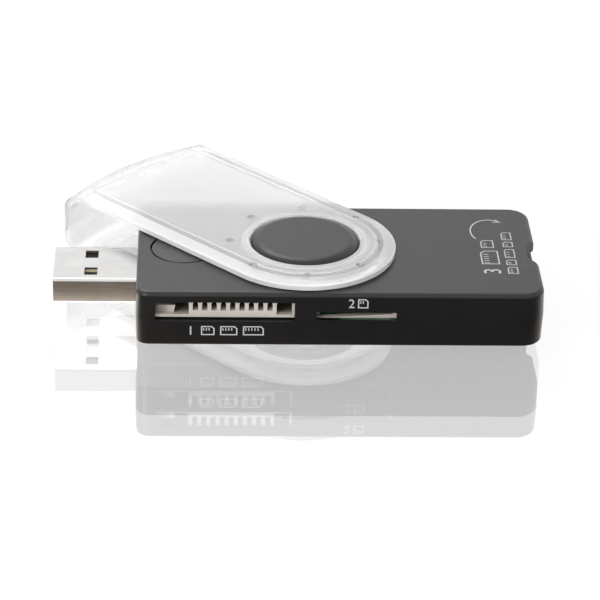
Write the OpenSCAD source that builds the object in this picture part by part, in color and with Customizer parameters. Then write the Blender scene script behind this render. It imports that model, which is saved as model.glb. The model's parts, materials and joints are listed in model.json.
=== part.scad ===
// Memory card reader in a flat two-part housing, with a plug at one end and a
// clear cap that swivels round a hub in the middle of the housing.
// The row's origin is the middle of the plug where it leaves the housing.
// Inside the modules the swivel axis is the Z axis and z = 0 is the underside
// of the housing. placed() sets a finished piece over to the row's origin.

/* [Housing] */
// Swivel axis to the plug end of the housing
plug_end = 27.95; // [27.6:0.05:28.4]
// Height of the housing
housing_h = 9.5; // [9.4:0.1:10]
// Height of the parting line above the board
seam_over_board = 0.05; // [0.05:0.05:0.15]
// Room between the side walls and the widest socket
side_room = 1.5; // [1.3:0.1:1.8]
// How far the sides lean in from the parting line to each face
draft = 0.15; // [0.05:0.05:0.3]
// Side wall thickness
side_wall = 1.4; // [1.2:0.1:1.5]
// Top and bottom wall thickness
face_wall = 1.2; // [1:0.1:1.3]
// Corner radius in plan at the plug end
plug_corner_r = 2.2; // [1.8:0.1:3]
// Corner radius in plan at the card end
card_corner_r = 3.6; // [3:0.1:4.5]
// Edge radius round the top face
top_round = 0.8; // [0.5:0.1:1.1]
// Edge radius round the underside
bottom_round = 0.3; // [0.2:0.05:0.6]
// Height of the lip that locates the upper shell
lip_h = 0.7; // [0.4:0.1:0.8]
// Thickness of that lip
lip_t = 0.55; // [0.4:0.05:0.7]
// Running and assembly clearance between moulded pieces
clearance = 0.08; // [0.05:0.01:0.1]

/* [Finger notch] */
// Depth of the finger notch in the card end
notch_depth = 1.9; // [1.5:0.1:2.2]
// Flat width at the bottom of the notch
notch_floor = 3; // [2:0.1:4]
// Width of each blended flank of the notch
notch_flank = 3.6; // [2.5:0.1:5]
// Sideways place of the notch
notch_y = -0.6; // [-1:0.1:1]
// Housing wall left behind the notch
notch_wall = 1.2; // [1:0.1:1.4]

/* [Hub] */
// Radius of the hub that carries the cap
hub_r = 9.1; // [8.8:0.1:9.4]
// Height of the hub above the housing face
hub_h = 2.1; // [1.9:0.05:2.3]
// Drop of the domed hub edge
dome_drop = 1.15; // [0.8:0.05:1.3]
// Width of the domed hub edge
dome_w = 1.8; // [1.3:0.1:2.2]

/* [Swivel cap] */
// Angle of the cap from the card end, 180 when it covers the plug
cap_angle = 135; // [0:45:315]
// Thickness of each leaf of the cap
leaf_t = 1.4; // [1.3:0.05:1.6]
// Gap between a leaf and the housing
leaf_gap = 0.15; // [0.1:0.05:0.25]
// Half width of the cap
cap_half_w = 15.1; // [14.8:0.1:15.6]
// Gap between the swinging fold and the farthest corner it passes
swing_gap = 1.95; // [1.2:0.05:2.4]
// Outer radius of the fold between the two leaves
fold_r = 5.8; // [5:0.1:6.2]
// Inner radius of the fold
fold_inner_r = 3.4; // [2.8:0.1:3.8]
// Wall of the fold
fold_t = 1.8; // [1.6:0.1:2]
// Width of the bevel along the cap's outer edge
bevel_w = 1.9; // [1.5:0.1:2.2]
// Drop of that bevel
bevel_drop = 0.65; // [0.4:0.05:0.8]
// Outer radius of the collar round the hub hole
collar_r = 9.75; // [9.6:0.05:10.2]
// Height of the collar and of the border rib above a leaf
rib_h = 0.2; // [0.1:0.05:0.3]
// Half width of the field inside the border rib
field_half_w = 11.75; // [11.3:0.05:12]
// Width of the border rib at its foot
rib_foot = 0.8; // [0.5:0.05:1]
// Width of the border rib along its crest
rib_crest = 0.3; // [0.1:0.05:0.4]
// Number of detent dimples round the hub
dimple_count = 8; // [4:1:12]
// Distance of the dimples from the swivel axis
dimple_ring_r = 12.45; // [12.2:0.05:12.8]
// Width of a dimple
dimple_d = 1.3; // [1:0.1:1.6]
// Depth of a dimple
dimple_depth = 0.45; // [0.3:0.05:0.6]

/* [Plug] */
// How far the plug's middle lies below the board's upper face
plug_below_board = 0.3; // [0.2:0.05:0.35]
// Width of the plug shell
plug_w = 12; // [11.9:0.05:12.1]
// Height of the plug shell
plug_h = 4.5; // [4.4:0.05:4.6]
// Length of the plug that stands out of the housing
plug_out = 13.65; // [12:0.05:14]
// Length of the plug inside the housing
plug_in = 2.6; // [2.2:0.1:2.7]
// Sheet thickness of the plug shell
plug_sheet = 0.3; // [0.25:0.01:0.35]
// Edge radius of the plug shell
plug_edge_r = 0.5; // [0.45:0.05:0.9]
// Distance from the plug's tip to its latch windows
window_from_tip = 5.08; // [4.8:0.02:5.5]
// Length of a latch window
window_len = 2.15; // [2:0.05:2.6]
// Width of a latch window
window_w = 2.6; // [1.8:0.1:2.7]
// Distance between the two latch windows
window_pitch = 6.1; // [5:0.1:6.3]
// Thickness of the plug's tongue
tongue_t = 1.95; // [1.8:0.05:2]
// Depth of the open mouth of the plug
mouth_depth = 11.9; // [11.5:0.1:12.5]
// Width of a plug contact
plug_pin_w = 1; // [0.8:0.1:1.2]
// Thickness of every contact strip
strip_t = 0.2; // [0.15:0.01:0.22]

/* [Circuit board] */
// Room between the board and the ceiling of the upper shell
room_over_board = 3.6; // [3.55:0.05:3.7]
// Thickness of the board
board_t = 1; // [0.8:0.1:1.1]
// Gap between the board and the housing walls
board_gap = 0.25; // [0.15:0.05:0.4]
// Radius of the pins that locate the board
post_pin_r = 0.7; // [0.5:0.05:0.8]
// Radius of the posts that carry the board
post_r = 1.15; // [1:0.05:1.2]
// Distance of the posts from the long edges of the board
post_edge = 1.3; // [1.2:0.05:1.6]

/* [Long card slot] */
// Place of the long card slot along the housing
long_x = -13.35; // [-13.6:0.05:-13.2]
// Width of the long card slot
long_w = 22.7; // [22:0.1:22.8]
// Wall left between the long card slot and the ceiling
long_lintel = 0.5; // [0.45:0.05:0.8]
// How far the sill of that slot lies below the socket
sill_drop = 0.3; // [0.1:0.05:0.4]
// Depth of the long card socket
long_depth = 20; // [17:0.5:20.5]
// How far the socket's front lies behind the housing's face
socket_recess = 1; // [0.9:0.05:1.1]
// Height of the rail along the foot of the socket
rail_h = 0.5; // [0.4:0.01:0.7]
// Height of the plinth that carries the comb
plinth_h = 1.2; // [0.8:0.05:1.3]
// Number of comb teeth
tooth_count = 10; // [8:1:10]
// Distance from one comb tooth to the next
tooth_pitch = 1.51; // [1.45:0.01:1.53]
// Thickness of a tooth at its foot
tooth_foot = 0.62; // [0.5:0.01:0.75]
// Thickness of a tooth where it flares
tooth_flare = 0.86; // [0.8:0.01:1]
// Height of the flared head of a tooth
head_h = 0.65; // [0.4:0.05:0.9]
// Gap between the teeth and the cover
tooth_gap = 0.4; // [0.3:0.05:0.5]
// Left end of the comb, from the left end of the slot
comb_from = 5.51; // [5.4:0.01:5.6]
// Length of the teeth behind the socket's front
tooth_len = 5; // [3:0.5:7]
// Width of the stop block at the left of the comb
stop_w = 2.5; // [2.2:0.1:2.8]
// Height of that block
stop_h = 1.2; // [0.9:0.05:1.4]
// Depth of that block
stop_len = 1.2; // [0.8:0.1:2]

/* [Small card slot] */
// Place of the small card slot along the housing
small_x = 8.03; // [7.9:0.05:8.1]
// Width of the small card slot
small_w = 13.25; // [13:0.05:13.3]
// Height of the small card slot
small_h = 1.4; // [1.2:0.05:1.6]
// Depth of the small card socket
small_depth = 12; // [10:0.5:13]

/* [Card end slots] */
// Width of the main card slot
main_w = 24.6; // [24.4:0.1:25]
// Height of the main card slot
main_h = 2.4; // [2.3:0.1:2.5]
// Depth of the main card socket
main_depth = 19.5; // [17:0.5:20]
// Side wall of the frames of both card end sockets
frame_wall = 0.9; // [0.7:0.05:1]
// Gap between the main card socket and the small card socket
socket_gap = 1.3; // [1:0.1:1.6]
// Width of the micro card slot
micro_w = 11.4; // [11.2:0.1:12]
// Height of the micro card slot
micro_h = 0.95; // [0.9:0.05:1]
// Depth of the micro card socket
micro_depth = 14.5; // [12:0.5:15.5]
// Sheet thickness of the socket covers
cover_t = 0.2; // [0.15:0.01:0.25]
// Height of a moulded socket floor
floor_t = 0.35; // [0.3:0.05:0.5]

/* [Parts on the board] */
// Side of the controller chip
chip_size = 7; // [6:0.5:7.5]
// Length of the crystal can
crystal_len = 11; // [10:0.5:11.5]
// Width of the crystal can
crystal_w = 4.6; // [4.2:0.1:4.8]
// Room between the crystal can and the ceiling
crystal_room = 0.5; // [0.4:0.1:1]
// Length of a capacitor and of a resistor
part_len = 1.6; // [1.4:0.1:1.8]
// Width of a capacitor and of a resistor
part_w = 0.8; // [0.7:0.05:0.9]
// Height of a capacitor
capacitor_h = 0.8; // [0.6:0.1:0.9]
// Height of a resistor
resistor_h = 0.45; // [0.35:0.05:0.6]

/* [Light window] */
// Distance of the light window from the plug end
window_from_end = 7.75; // [7.2:0.05:8]
// Radius of the light window
light_r = 5.4; // [5:0.1:5.8]
// Thickness of the light window
light_t = 0.65; // [0.5:0.05:0.8]
// Width of the open ring round the light window
light_ring = 0.12; // [0.08:0.01:0.2]

/* [Hidden] */
$fn = 48;
nudge = 0.01;
// The widest socket sets the width of the housing
housing_w = main_w + 2 * (frame_wall + side_room + side_wall);
half_w = housing_w / 2;
hole_r = hub_r + clearance;
// Heights, counted from the underside of the housing
ceiling = housing_h - face_wall;
board_top = ceiling - room_over_board;
board_z = board_top - board_t;
seam_z = board_top + seam_over_board;
plug_z = board_top - plug_below_board;
long_top = ceiling - long_lintel;
// Ends of the two front slots; the main card socket begins past the small one
long_left = long_x - long_w / 2;
long_right = long_x + long_w / 2;
small_left = small_x - small_w / 2;
small_right = small_x + small_w / 2;
main_from = small_right + socket_gap;
end_wall = notch_depth + notch_wall;
inner_end = main_from + main_depth + board_gap;
card_end = inner_end + end_wall;
front_y = -half_w + socket_recess;
board_half = half_w - side_wall - board_gap;
// Leaves, counted from the underside of the housing
lower_out = -leaf_gap - leaf_t;
upper_out = housing_h + leaf_gap + leaf_t;
cap_h = upper_out - lower_out;
plug_tip = -plug_end - plug_out;
// Farthest corners that the fold swings past: at the plug's tip and at the card end
tip_corner = norm([plug_tip, plug_w / 2]);
end_corner = norm([card_end - card_corner_r, half_w - card_corner_r]) + card_corner_r;
cap_inner = max(tip_corner, end_corner) + swing_gap;
cap_reach = cap_inner + fold_t;
// Where the flat of a leaf ends and its fold begins
flat_end = cap_reach - fold_r;
plug_back = -plug_end + plug_in;
light_x = -plug_end + window_from_end;
plug_floor = plug_z - plug_h / 2 + plug_sheet;
plug_pin_y = [-3.5, -1, 1, 3.5];
tongue_top = plug_floor + tongue_t;
tongue_back = plug_back - 0.6;
long_cover_z = ceiling - clearance - cover_t;
small_cover_z = seam_z + small_h + cover_t;
teeth_x = [for (i = [0 : tooth_count - 1]) long_left + comb_from + tooth_foot / 2 + i * tooth_pitch];
main_z = seam_z + floor_t;
micro_z = board_z - floor_t - micro_h;
// Posts under the board, clear of the sockets
post_y = board_half - post_edge;
posts = [[-plug_end + 4.7, post_y], [10, post_y], [-0.3, -post_y], [18, -post_y]];
// Green edge of the board that shows under the small card socket
tab_from = small_left + 3.9;
tab_to = small_right - 1.1;
tab_front = -half_w + 0.35;
// The controller chip lies between the long card socket and the main card socket
chip_x = (long_right + main_from) / 2;
chip_y = board_half / 2;

// Sets a piece over from the swivel axis to the row's origin
module placed() {
    translate([plug_end, 0, -plug_z]) children();
}

// Box given by its lowest and highest corners
module block(low, high) {
    translate(low) cube(high - low);
}

// Rounded quarter from the side (angle 0) to the face (angle 90), as inset and rise
function quarter(r, steps = 9) = [for (i = [0 : steps]) [r - r * cos(90 * i / steps), r * sin(90 * i / steps)]];

// Edge of the upper shell: inset from the outline, and height
function top_edge(depth) = concat(
    [[depth, seam_z], [0, seam_z]],
    [for (p = quarter(top_round)) [draft + p[0], housing_h - top_round + p[1]]],
    [[depth, housing_h]]);

// Edge of the lower shell
function bottom_edge(depth) = concat(
    [[depth, seam_z], [0, seam_z]],
    [for (p = quarter(bottom_round)) [draft + p[0], bottom_round - p[1]]],
    [[depth, 0]]);

function edge(upper, depth) = upper ? top_edge(depth) : bottom_edge(depth);

// Edge section run along X on the side y = +half_w
module side_run(upper, x0, x1, depth) {
    translate([x0, half_w, 0]) rotate([90, 0, 90]) linear_extrude(x1 - x0)
        polygon([for (p = edge(upper, depth)) [-p[0], p[1]]]);
}

// Edge section run along Y at the end x = +reach
module end_run(upper, reach, half_len, depth) {
    translate([reach, half_len, 0]) rotate([90, 0, 0]) linear_extrude(2 * half_len)
        polygon([for (p = edge(upper, depth)) [-p[0], p[1]]]);
}

// Quarter turn of the edge section round a corner of the outline
module corner_turn(upper, r) {
    rotate_extrude(angle = 90) polygon([for (p = edge(upper, r)) [r - p[0], p[1]]]);
}

// One half of the housing as a solid block: core, four sides and four corners
module housing_half(upper) {
    z0 = upper ? seam_z : 0;
    z1 = upper ? housing_h : seam_z;
    back = -plug_end + plug_corner_r;
    front = card_end - card_corner_r;
    block([back, -half_w + plug_corner_r, z0], [front, half_w - plug_corner_r, z1]);
    for (side = [0, 1]) mirror([0, side, 0]) {
        side_run(upper, back, front, plug_corner_r);
        translate([front, half_w - card_corner_r, 0]) corner_turn(upper, card_corner_r);
        translate([back, half_w - plug_corner_r, 0]) rotate([0, 0, 90]) corner_turn(upper, plug_corner_r);
    }
    end_run(upper, card_end, half_w - card_corner_r, card_corner_r);
    mirror([1, 0, 0]) end_run(upper, plug_end, half_w - plug_corner_r, plug_corner_r);
}

// Outline in plan, drawn in from the side walls by inset
module plan(inset, end_inset) {
    r = plug_corner_r - min(inset, plug_corner_r - 0.3);
    x0 = -plug_end + inset;
    x1 = card_end - end_inset;
    y1 = half_w - inset;
    translate([x0 + r, -y1]) square([x1 - x0 - 2 * r, 2 * y1]);
    translate([x0, -y1 + r]) square([x1 - x0, 2 * (y1 - r)]);
    for (x = [x0 + r, x1 - r], y = [-y1 + r, y1 - r]) translate([x, y]) circle(r);
}

// Finger notch: a flat floor with a smooth S-shaped flank on each side
module notch() {
    half = notch_floor / 2;
    flank = [for (i = [0 : 8]) [half + notch_flank * i / 8, notch_depth * (1 + cos(180 * i / 8)) / 2]];
    near = [for (p = flank) [card_end - p[1], p[0]]];
    mouth = half + notch_flank;
    outer = [[card_end + 1, mouth], [card_end + 1, -mouth]];
    far_side = [for (i = [8 : -1 : 0]) [near[i][0], -near[i][1]]];
    translate([0, notch_y, -1]) linear_extrude(housing_h + 2) polygon(concat(near, outer, far_side));
}

// Domed button on a housing face, growing up from z = 0
module hub_button() {
    steps = 6;
    // Radius of the arc that falls dome_drop over dome_w
    arc_r = (dome_w * dome_w + dome_drop * dome_drop) / (2 * dome_drop);
    sweep = asin(dome_w / arc_r);
    arc = [for (i = [0 : steps])
        [hub_r - dome_w + arc_r * sin(sweep * i / steps), hub_h - arc_r * (1 - cos(sweep * i / steps))]];
    rotate_extrude() polygon(concat([[0, -nudge], [0, hub_h]], arc, [[hub_r, -nudge]]));
}

// Opening for the plug through the end wall
module plug_opening() {
    block([-plug_end - 1, -plug_w / 2 - clearance, plug_z - plug_h / 2 - clearance],
          [-plug_end + side_wall + 1, plug_w / 2 + clearance, plug_z + plug_h / 2 + clearance]);
}

// Openings in the front wall and the card end, cut from both shells
module card_openings() {
    block([long_left, -half_w - 1, board_top - sill_drop], [long_right, -half_w + side_wall + 1, long_top]);
    block([small_left, -half_w - 1, seam_z], [small_right, -half_w + side_wall + 1, seam_z + small_h]);
    block([inner_end - 1, -main_w / 2, main_z], [card_end + 1, main_w / 2, main_z + main_h]);
    block([inner_end - 1, -micro_w / 2, micro_z], [card_end + 1, micro_w / 2, micro_z + micro_h]);
}

// Pockets in the wall behind the two front slots, where the sockets' fronts sit
module socket_pockets() {
    low = board_top - clearance;
    block([long_left, front_y - clearance, low], [long_right, -half_w + side_wall + 1, ceiling]);
    block([small_left, front_y - clearance, low],
          [small_right, -half_w + side_wall + 1, small_cover_z + cover_t + clearance]);
}

module top_shell() color([0.16, 0.16, 0.17]) {
    difference() {
        union() {
            housing_half(true);
            translate([0, 0, housing_h]) hub_button();
        }
        translate([0, 0, seam_z - 1]) linear_extrude(ceiling - seam_z + 1) plan(side_wall, end_wall);
        // The button is hollow, with the same wall as the face
        translate([0, 0, ceiling - 1]) cylinder(h = hub_h + 1, r = hub_r - dome_w);
        // Rebate for the lip of the lower shell
        translate([0, 0, seam_z - 1]) linear_extrude(lip_h + clearance + 1)
            plan(side_wall - lip_t - clearance, end_wall - lip_t - clearance);
        // Seat of the light window, with a smaller hole that lets the light through
        translate([light_x, 0, housing_h - light_t]) cylinder(h = light_t + 1, r = light_r + light_ring);
        translate([light_x, 0, ceiling - 1]) cylinder(h = face_wall + 2, r = light_r * 0.6);
        plug_opening();
        card_openings();
        socket_pockets();
        notch();
    }
}

module bottom_shell() color([0.15, 0.15, 0.16]) {
    difference() {
        union() {
            housing_half(false);
            mirror([0, 0, 1]) hub_button();
            lip();
        }
        translate([0, 0, face_wall]) linear_extrude(housing_h) plan(side_wall, end_wall);
        translate([0, 0, face_wall - hub_h]) cylinder(h = hub_h + 1, r = hub_r - dome_w);
        plug_opening();
        card_openings();
        socket_pockets();
        // The lip stops short of each card slot and of the plug
        block([long_left - 1, -half_w, seam_z], [small_right + 1, -half_w + 3, housing_h]);
        block([inner_end - 1, -main_w / 2 - 1, seam_z], [card_end, main_w / 2 + 1, housing_h]);
        block([-plug_end, -plug_w / 2 - 1, seam_z], [-plug_end + 3, plug_w / 2 + 1, housing_h]);
        // Pocket for the tab of the board
        block([tab_from - clearance, tab_front - clearance, board_z - clearance],
              [tab_to + clearance, -half_w + side_wall + 1, seam_z + 1]);
        notch();
    }
    for (p = posts) translate([p[0], p[1], face_wall - nudge]) {
        cylinder(h = board_z - face_wall + nudge, r = post_r);
        cylinder(h = board_top - 0.1 - face_wall, r = post_pin_r);
    }
}

// Raised rim along the parting line
module lip() {
    difference() {
        translate([0, 0, seam_z - 1]) linear_extrude(1 + lip_h) plan(side_wall - lip_t, end_wall - lip_t);
        translate([0, 0, seam_z - 2]) linear_extrude(4) plan(side_wall, end_wall);
    }
}

// Half section of the cap through its width, as distance from the axis line and height
function cap_section(half) = [
    [0, lower_out], [half - bevel_w, lower_out], [half, lower_out + bevel_drop],
    [half, upper_out - bevel_drop], [half - bevel_w, upper_out], [0, upper_out]];

// Long prism with the cap's bevelled edges and a round end about the hub
module cap_blank() {
    rotate([0, 0, 90]) rotate_extrude(angle = 180) polygon(cap_section(cap_half_w));
    rotate([90, 0, 90]) linear_extrude(cap_reach + 1)
        polygon(concat(cap_section(cap_half_w),
                       [for (i = [4 : -1 : 1]) [-cap_section(cap_half_w)[i][0], cap_section(cap_half_w)[i][1]]]));
}

// Prism that carries the bevel down the two upright edges of the fold
module fold_corners() {
    start = cap_half_w - bevel_w;
    wide = [sqrt(cap_reach * cap_reach - start * start), start];
    narrow = [sqrt(pow(cap_reach - bevel_drop, 2) - cap_half_w * cap_half_w), cap_half_w];
    side = [[cap_reach + 1, wide[1]], wide, narrow, [-cap_half_w - 1, cap_half_w]];
    translate([0, 0, lower_out - 1]) linear_extrude(cap_h + 2)
        polygon(concat(side, [for (i = [3 : -1 : 0]) [side[i][0], -side[i][1]]]));
}

// Arc of the fold from the flat of a leaf to the upright wall, about its own centre
function fold_arc(r, from, to, steps = 15) = [for (i = [0 : steps])
    [r * cos(from + (to - from) * i / steps), r * sin(from + (to - from) * i / steps)]];

// Two leaves and the fold that joins them, turned round the swivel axis
module leaves_and_fold() {
    outer_up = upper_out - fold_r;
    outer_down = lower_out + fold_r;
    outside = concat(
        [[0, upper_out]],
        [for (p = fold_arc(fold_r, 90, 0)) [flat_end + p[0], outer_up + p[1]]],
        [for (p = fold_arc(fold_r, 0, -90)) [flat_end + p[0], outer_down + p[1]]],
        [[0, lower_out]]);
    inner_top = upper_out - leaf_t;
    inner_bottom = lower_out + leaf_t;
    inside = concat(
        [[0, inner_bottom]],
        [for (p = fold_arc(fold_inner_r, -90, 0)) [cap_inner - fold_inner_r + p[0], inner_bottom + fold_inner_r + p[1]]],
        [for (p = fold_arc(fold_inner_r, 0, 90)) [cap_inner - fold_inner_r + p[0], inner_top - fold_inner_r + p[1]]],
        [[0, inner_top]]);
    rotate_extrude($fn = 96) polygon(concat(outside, inside));
}

// Section of the border rib about its middle line, foot on z = 0
function rib_section(at) = [
    [at - rib_foot / 2, -nudge], [at + rib_foot / 2, -nudge],
    [at + rib_crest / 2, rib_h], [at - rib_crest / 2, rib_h]];

// Raised work on the outer face of a leaf: collar and border rib
module leaf_relief() {
    rotate_extrude() polygon([
        [hole_r, -nudge], [collar_r, -nudge], [collar_r - rib_h, rib_h], [hole_r + rib_h, rib_h]]);
    rotate([0, 0, 90]) rotate_extrude(angle = 180) polygon(rib_section(field_half_w));
    for (side = [0, 1]) mirror([0, side, 0])
        rotate([90, 0, 90]) linear_extrude(flat_end - rib_foot) polygon(rib_section(field_half_w));
}

// Clear cap: two leaves over and under the housing, joined by a fold past its end
module swivel_cap() color([0.9, 0.93, 0.95, 0.45]) rotate([0, 0, cap_angle]) {
    difference() {
        union() {
            intersection() {
                cap_blank();
                leaves_and_fold();
                fold_corners();
            }
            translate([0, 0, upper_out]) leaf_relief();
            translate([0, 0, lower_out]) mirror([0, 0, 1]) leaf_relief();
        }
        translate([0, 0, lower_out - 1]) cylinder(h = cap_h + 2, r = hole_r);
        for (i = [0 : dimple_count - 1]) rotate([0, 0, 360 * i / dimple_count]) {
            translate([dimple_ring_r, 0, upper_out]) dimple();
            translate([dimple_ring_r, 0, lower_out]) dimple();
        }
    }
}

// Ball that cuts a dimple of the given width and depth into a face at z = 0
module dimple() {
    ball_r = (dimple_d * dimple_d / 4 + dimple_depth * dimple_depth) / (2 * dimple_depth);
    for (side = [0, 1]) mirror([0, 0, side]) translate([0, 0, ball_r - dimple_depth]) sphere(r = ball_r, $fn = 24);
}

module light_window() color([0.2, 0.2, 0.21])
    translate([light_x, 0, housing_h - light_t]) cylinder(h = light_t, r = light_r);

module circuit_board() color([0.08, 0.36, 0.2]) {
    inset = side_wall + board_gap;
    difference() {
        union() {
            translate([0, 0, board_z]) linear_extrude(board_t) plan(inset, end_wall + board_gap);
            block([tab_from, tab_front, board_z], [tab_to, -half_w + inset + 1, board_top]);
        }
        // Cut-out behind the plug and holes for the locating pins
        block([-plug_end, -plug_w / 2 - board_gap, board_z - 1],
              [plug_back + board_gap, plug_w / 2 + board_gap, board_top + 1]);
        for (p = posts) translate([p[0], p[1], board_z - 1]) cylinder(h = board_t + 2, r = post_pin_r + clearance);
    }
}

// Rounded rectangle in the YZ plane, centred on the plug's axis
module plug_outline(inset) {
    w = plug_w - 2 * inset;
    h = plug_h - 2 * inset;
    r = plug_edge_r - inset;
    square([w - 2 * r, h], center = true);
    square([w, h - 2 * r], center = true);
    for (y = [-1, 1], z = [-1, 1]) translate([y * (w / 2 - r), z * (h / 2 - r)]) circle(r);
}

module usb_plug_shell() color([0.78, 0.78, 0.79]) difference() {
    translate([plug_tip, 0, plug_z]) rotate([90, 0, 90]) linear_extrude(plug_out + plug_in) plug_outline(0);
    translate([plug_tip - 1, 0, plug_z]) rotate([90, 0, 90]) linear_extrude(plug_out + plug_in + 2)
        plug_outline(plug_sheet);
    for (side = [-1, 1]) translate([plug_tip + window_from_tip, side * window_pitch / 2, plug_z])
        block([0, -window_w / 2, -plug_h], [window_len, window_w / 2, plug_h]);
}

module usb_plug_insulator() color([0.12, 0.12, 0.12]) {
    half = plug_w / 2 - plug_sheet - clearance;
    edge_gap = plug_edge_r - plug_sheet;
    block([plug_tip + 0.5, -half + edge_gap, plug_floor], [tongue_back, half - edge_gap, tongue_top]);
    difference() {
        block([plug_tip + mouth_depth, -half, plug_floor + edge_gap],
              [tongue_back, half, plug_z + plug_h / 2 - plug_sheet - edge_gap]);
        // Passages for the contact strips
        for (y = plug_pin_y) block([plug_tip, y - plug_pin_w / 2, tongue_top],
                                   [plug_back, y + plug_pin_w / 2, tongue_top + strip_t]);
    }
}

// Four contact strips: along the tongue, down behind it and under the board
module usb_plug_contacts() color([0.85, 0.68, 0.3]) {
    for (y = plug_pin_y) {
        // The two outer contacts reach nearer to the tip
        start = plug_tip + (abs(y) > 2 ? 1.2 : 2.2);
        translate([0, y + plug_pin_w / 2, 0]) rotate([90, 0, 0]) linear_extrude(plug_pin_w) polygon([
            [start, tongue_top], [start + 0.5, tongue_top + strip_t],
            [tongue_back + strip_t, tongue_top + strip_t], [tongue_back + strip_t, board_z],
            [plug_back + 2, board_z], [plug_back + 2, board_z - strip_t],
            [tongue_back, board_z - strip_t], [tongue_back, tongue_top]]);
    }
}

// Tooth of the comb: a straight foot that flares under its top
module tooth(top) {
    foot = tooth_foot / 2;
    flare = tooth_flare / 2;
    base = board_top + plinth_h;
    head = top - head_h;
    translate([0, front_y + tooth_len, 0]) rotate([90, 0, 0]) linear_extrude(tooth_len) polygon([
        [-foot, base - nudge], [foot, base - nudge], [foot, head], [flare, head + head_h * 0.7], [flare, top],
        [-flare, top], [-flare, head + head_h * 0.7], [-foot, head]]);
}

// Moulded tray for the long card: rail, comb, stop blocks, side walls and back
module long_card_socket() color([0.78, 0.74, 0.68]) {
    wall_t = 0.4;
    left = long_left + 0.05;
    right = long_right - 0.05;
    top = long_cover_z;
    back = front_y + long_depth;
    comb_left = teeth_x[0] - tooth_foot / 2;
    comb_right = teeth_x[tooth_count - 1] + tooth_foot / 2;
    block([left, front_y, board_top], [right, front_y + 1, board_top + rail_h]);
    block([comb_left, front_y, board_top], [comb_right, front_y + tooth_len, board_top + plinth_h]);
    block([left, front_y, board_top], [right, back, board_top + floor_t]);
    block([right - wall_t, front_y, board_top], [right, back, top]);
    block([left, front_y + 0.3, board_top], [left + wall_t, back, top]);
    block([left, back - 1.2, board_top], [right, back, top]);
    // Stop block at the left with a slanted cheek
    translate([0, front_y + 0.6 + stop_len, 0]) rotate([90, 0, 0]) linear_extrude(stop_len) polygon([
        [left + 0.3, board_top], [left + 0.3 + stop_w, board_top],
        [left + 0.75 + stop_w, board_top + stop_h], [left + 0.3, board_top + stop_h]]);
    for (x = teeth_x) translate([x, 0, 0]) tooth(top - tooth_gap);
}

// Folded sheet over the long card tray, with a tab down each side
module long_card_cover() color([0.75, 0.76, 0.78]) {
    left = long_left + 0.5;
    right = long_right - 0.5;
    difference() {
        block([left, front_y + 0.6, long_cover_z], [right, front_y + long_depth, long_cover_z + cover_t]);
        // Windows where the sheet is lanced for its card springs
        for (x = [left + 3, right - 5]) block([x, front_y + 8, 0], [x + 2, front_y + 15, housing_h]);
    }
    for (x = [left + 3.6, right - 4.4])
        block([x, front_y + 8 - nudge, long_cover_z], [x + 0.8, front_y + 14, long_cover_z + cover_t]);
}

// Contact springs: one behind each tooth, resting on the tray floor
module long_card_contacts() color([0.85, 0.68, 0.3]) {
    z = board_top + floor_t;
    from = front_y + tooth_len + 0.1;
    to = front_y + long_depth - 1.3;
    for (x = teeth_x) translate([x + 0.25, 0, 0]) rotate([90, 0, -90]) linear_extrude(0.5) polygon([
        [-to, z], [-from - 2, z], [-from, z + 1.5], [-from, z + 1.5 + strip_t],
        [-from - 2, z + strip_t], [-to, z + strip_t]]);
}

// Thin tray for the small card, its front lip rising towards one end
module small_card_socket() color([0.78, 0.74, 0.68]) {
    left = small_left + 0.1;
    right = small_right - 0.1;
    back = front_y + small_depth;
    top = small_cover_z;
    translate([0, front_y + 1, 0]) rotate([90, 0, 0]) linear_extrude(1) polygon([
        [left, board_top], [right, board_top], [right, board_top + 0.75], [left + 3, board_top + 0.15]]);
    block([right - 0.6, front_y, board_top], [right, back, top]);
    block([left, front_y + 1.2, board_top], [left + 0.6, back, top]);
    block([left, back - 1, board_top], [right, back, top]);
}

// Sheet cover of the small card tray, with a leg down at its right end
module small_card_cover() color([0.75, 0.76, 0.78]) {
    left = small_left + 0.1;
    right = small_right - 0.1;
    z = small_cover_z;
    difference() {
        block([left, front_y + 0.1, z], [right, front_y + small_depth, z + cover_t]);
        block([left + 4, front_y + 3, z - 1], [right - 4, front_y + 8, z + 1]);
    }
    block([right, front_y + 1.5, board_top], [right + cover_t, front_y + small_depth - 1, z + cover_t]);
}

module small_card_contacts() color([0.8, 0.5, 0.3]) {
    pitch = 0.9;
    z = board_top;
    for (i = [-5 : 5]) translate([small_x + i * pitch + 0.2, 0, 0]) rotate([90, 0, -90]) linear_extrude(0.4) polygon([
        [-front_y - small_depth + 1.1, z], [-front_y - 5, z], [-front_y - 2.4, z + 0.7], [-front_y - 2.4, z + 0.7 + strip_t],
        [-front_y - 5, z + strip_t], [-front_y - small_depth + 1.1, z + strip_t]]);
}

// U-shaped frame for a card that enters from the card end
module card_frame(width, depth, z0, height, back_t) {
    y1 = width / 2 + frame_wall;
    x1 = inner_end - board_gap;
    x0 = x1 - depth;
    for (side = [0, 1]) mirror([0, side, 0]) block([x0, width / 2, z0], [x1, y1, z0 + height]);
    block([x0, -width / 2 - nudge, z0], [x0 + back_t, width / 2 + nudge, z0 + height]);
}

module main_card_socket() color([0.14, 0.14, 0.15]) {
    x1 = inner_end - board_gap;
    card_frame(main_w, main_depth, board_top, main_z + main_h - board_top, 3);
    block([x1 - main_depth, -main_w / 2 - nudge, board_top], [x1 - main_depth + 8, main_w / 2 + nudge, board_top + floor_t]);
}

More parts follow.
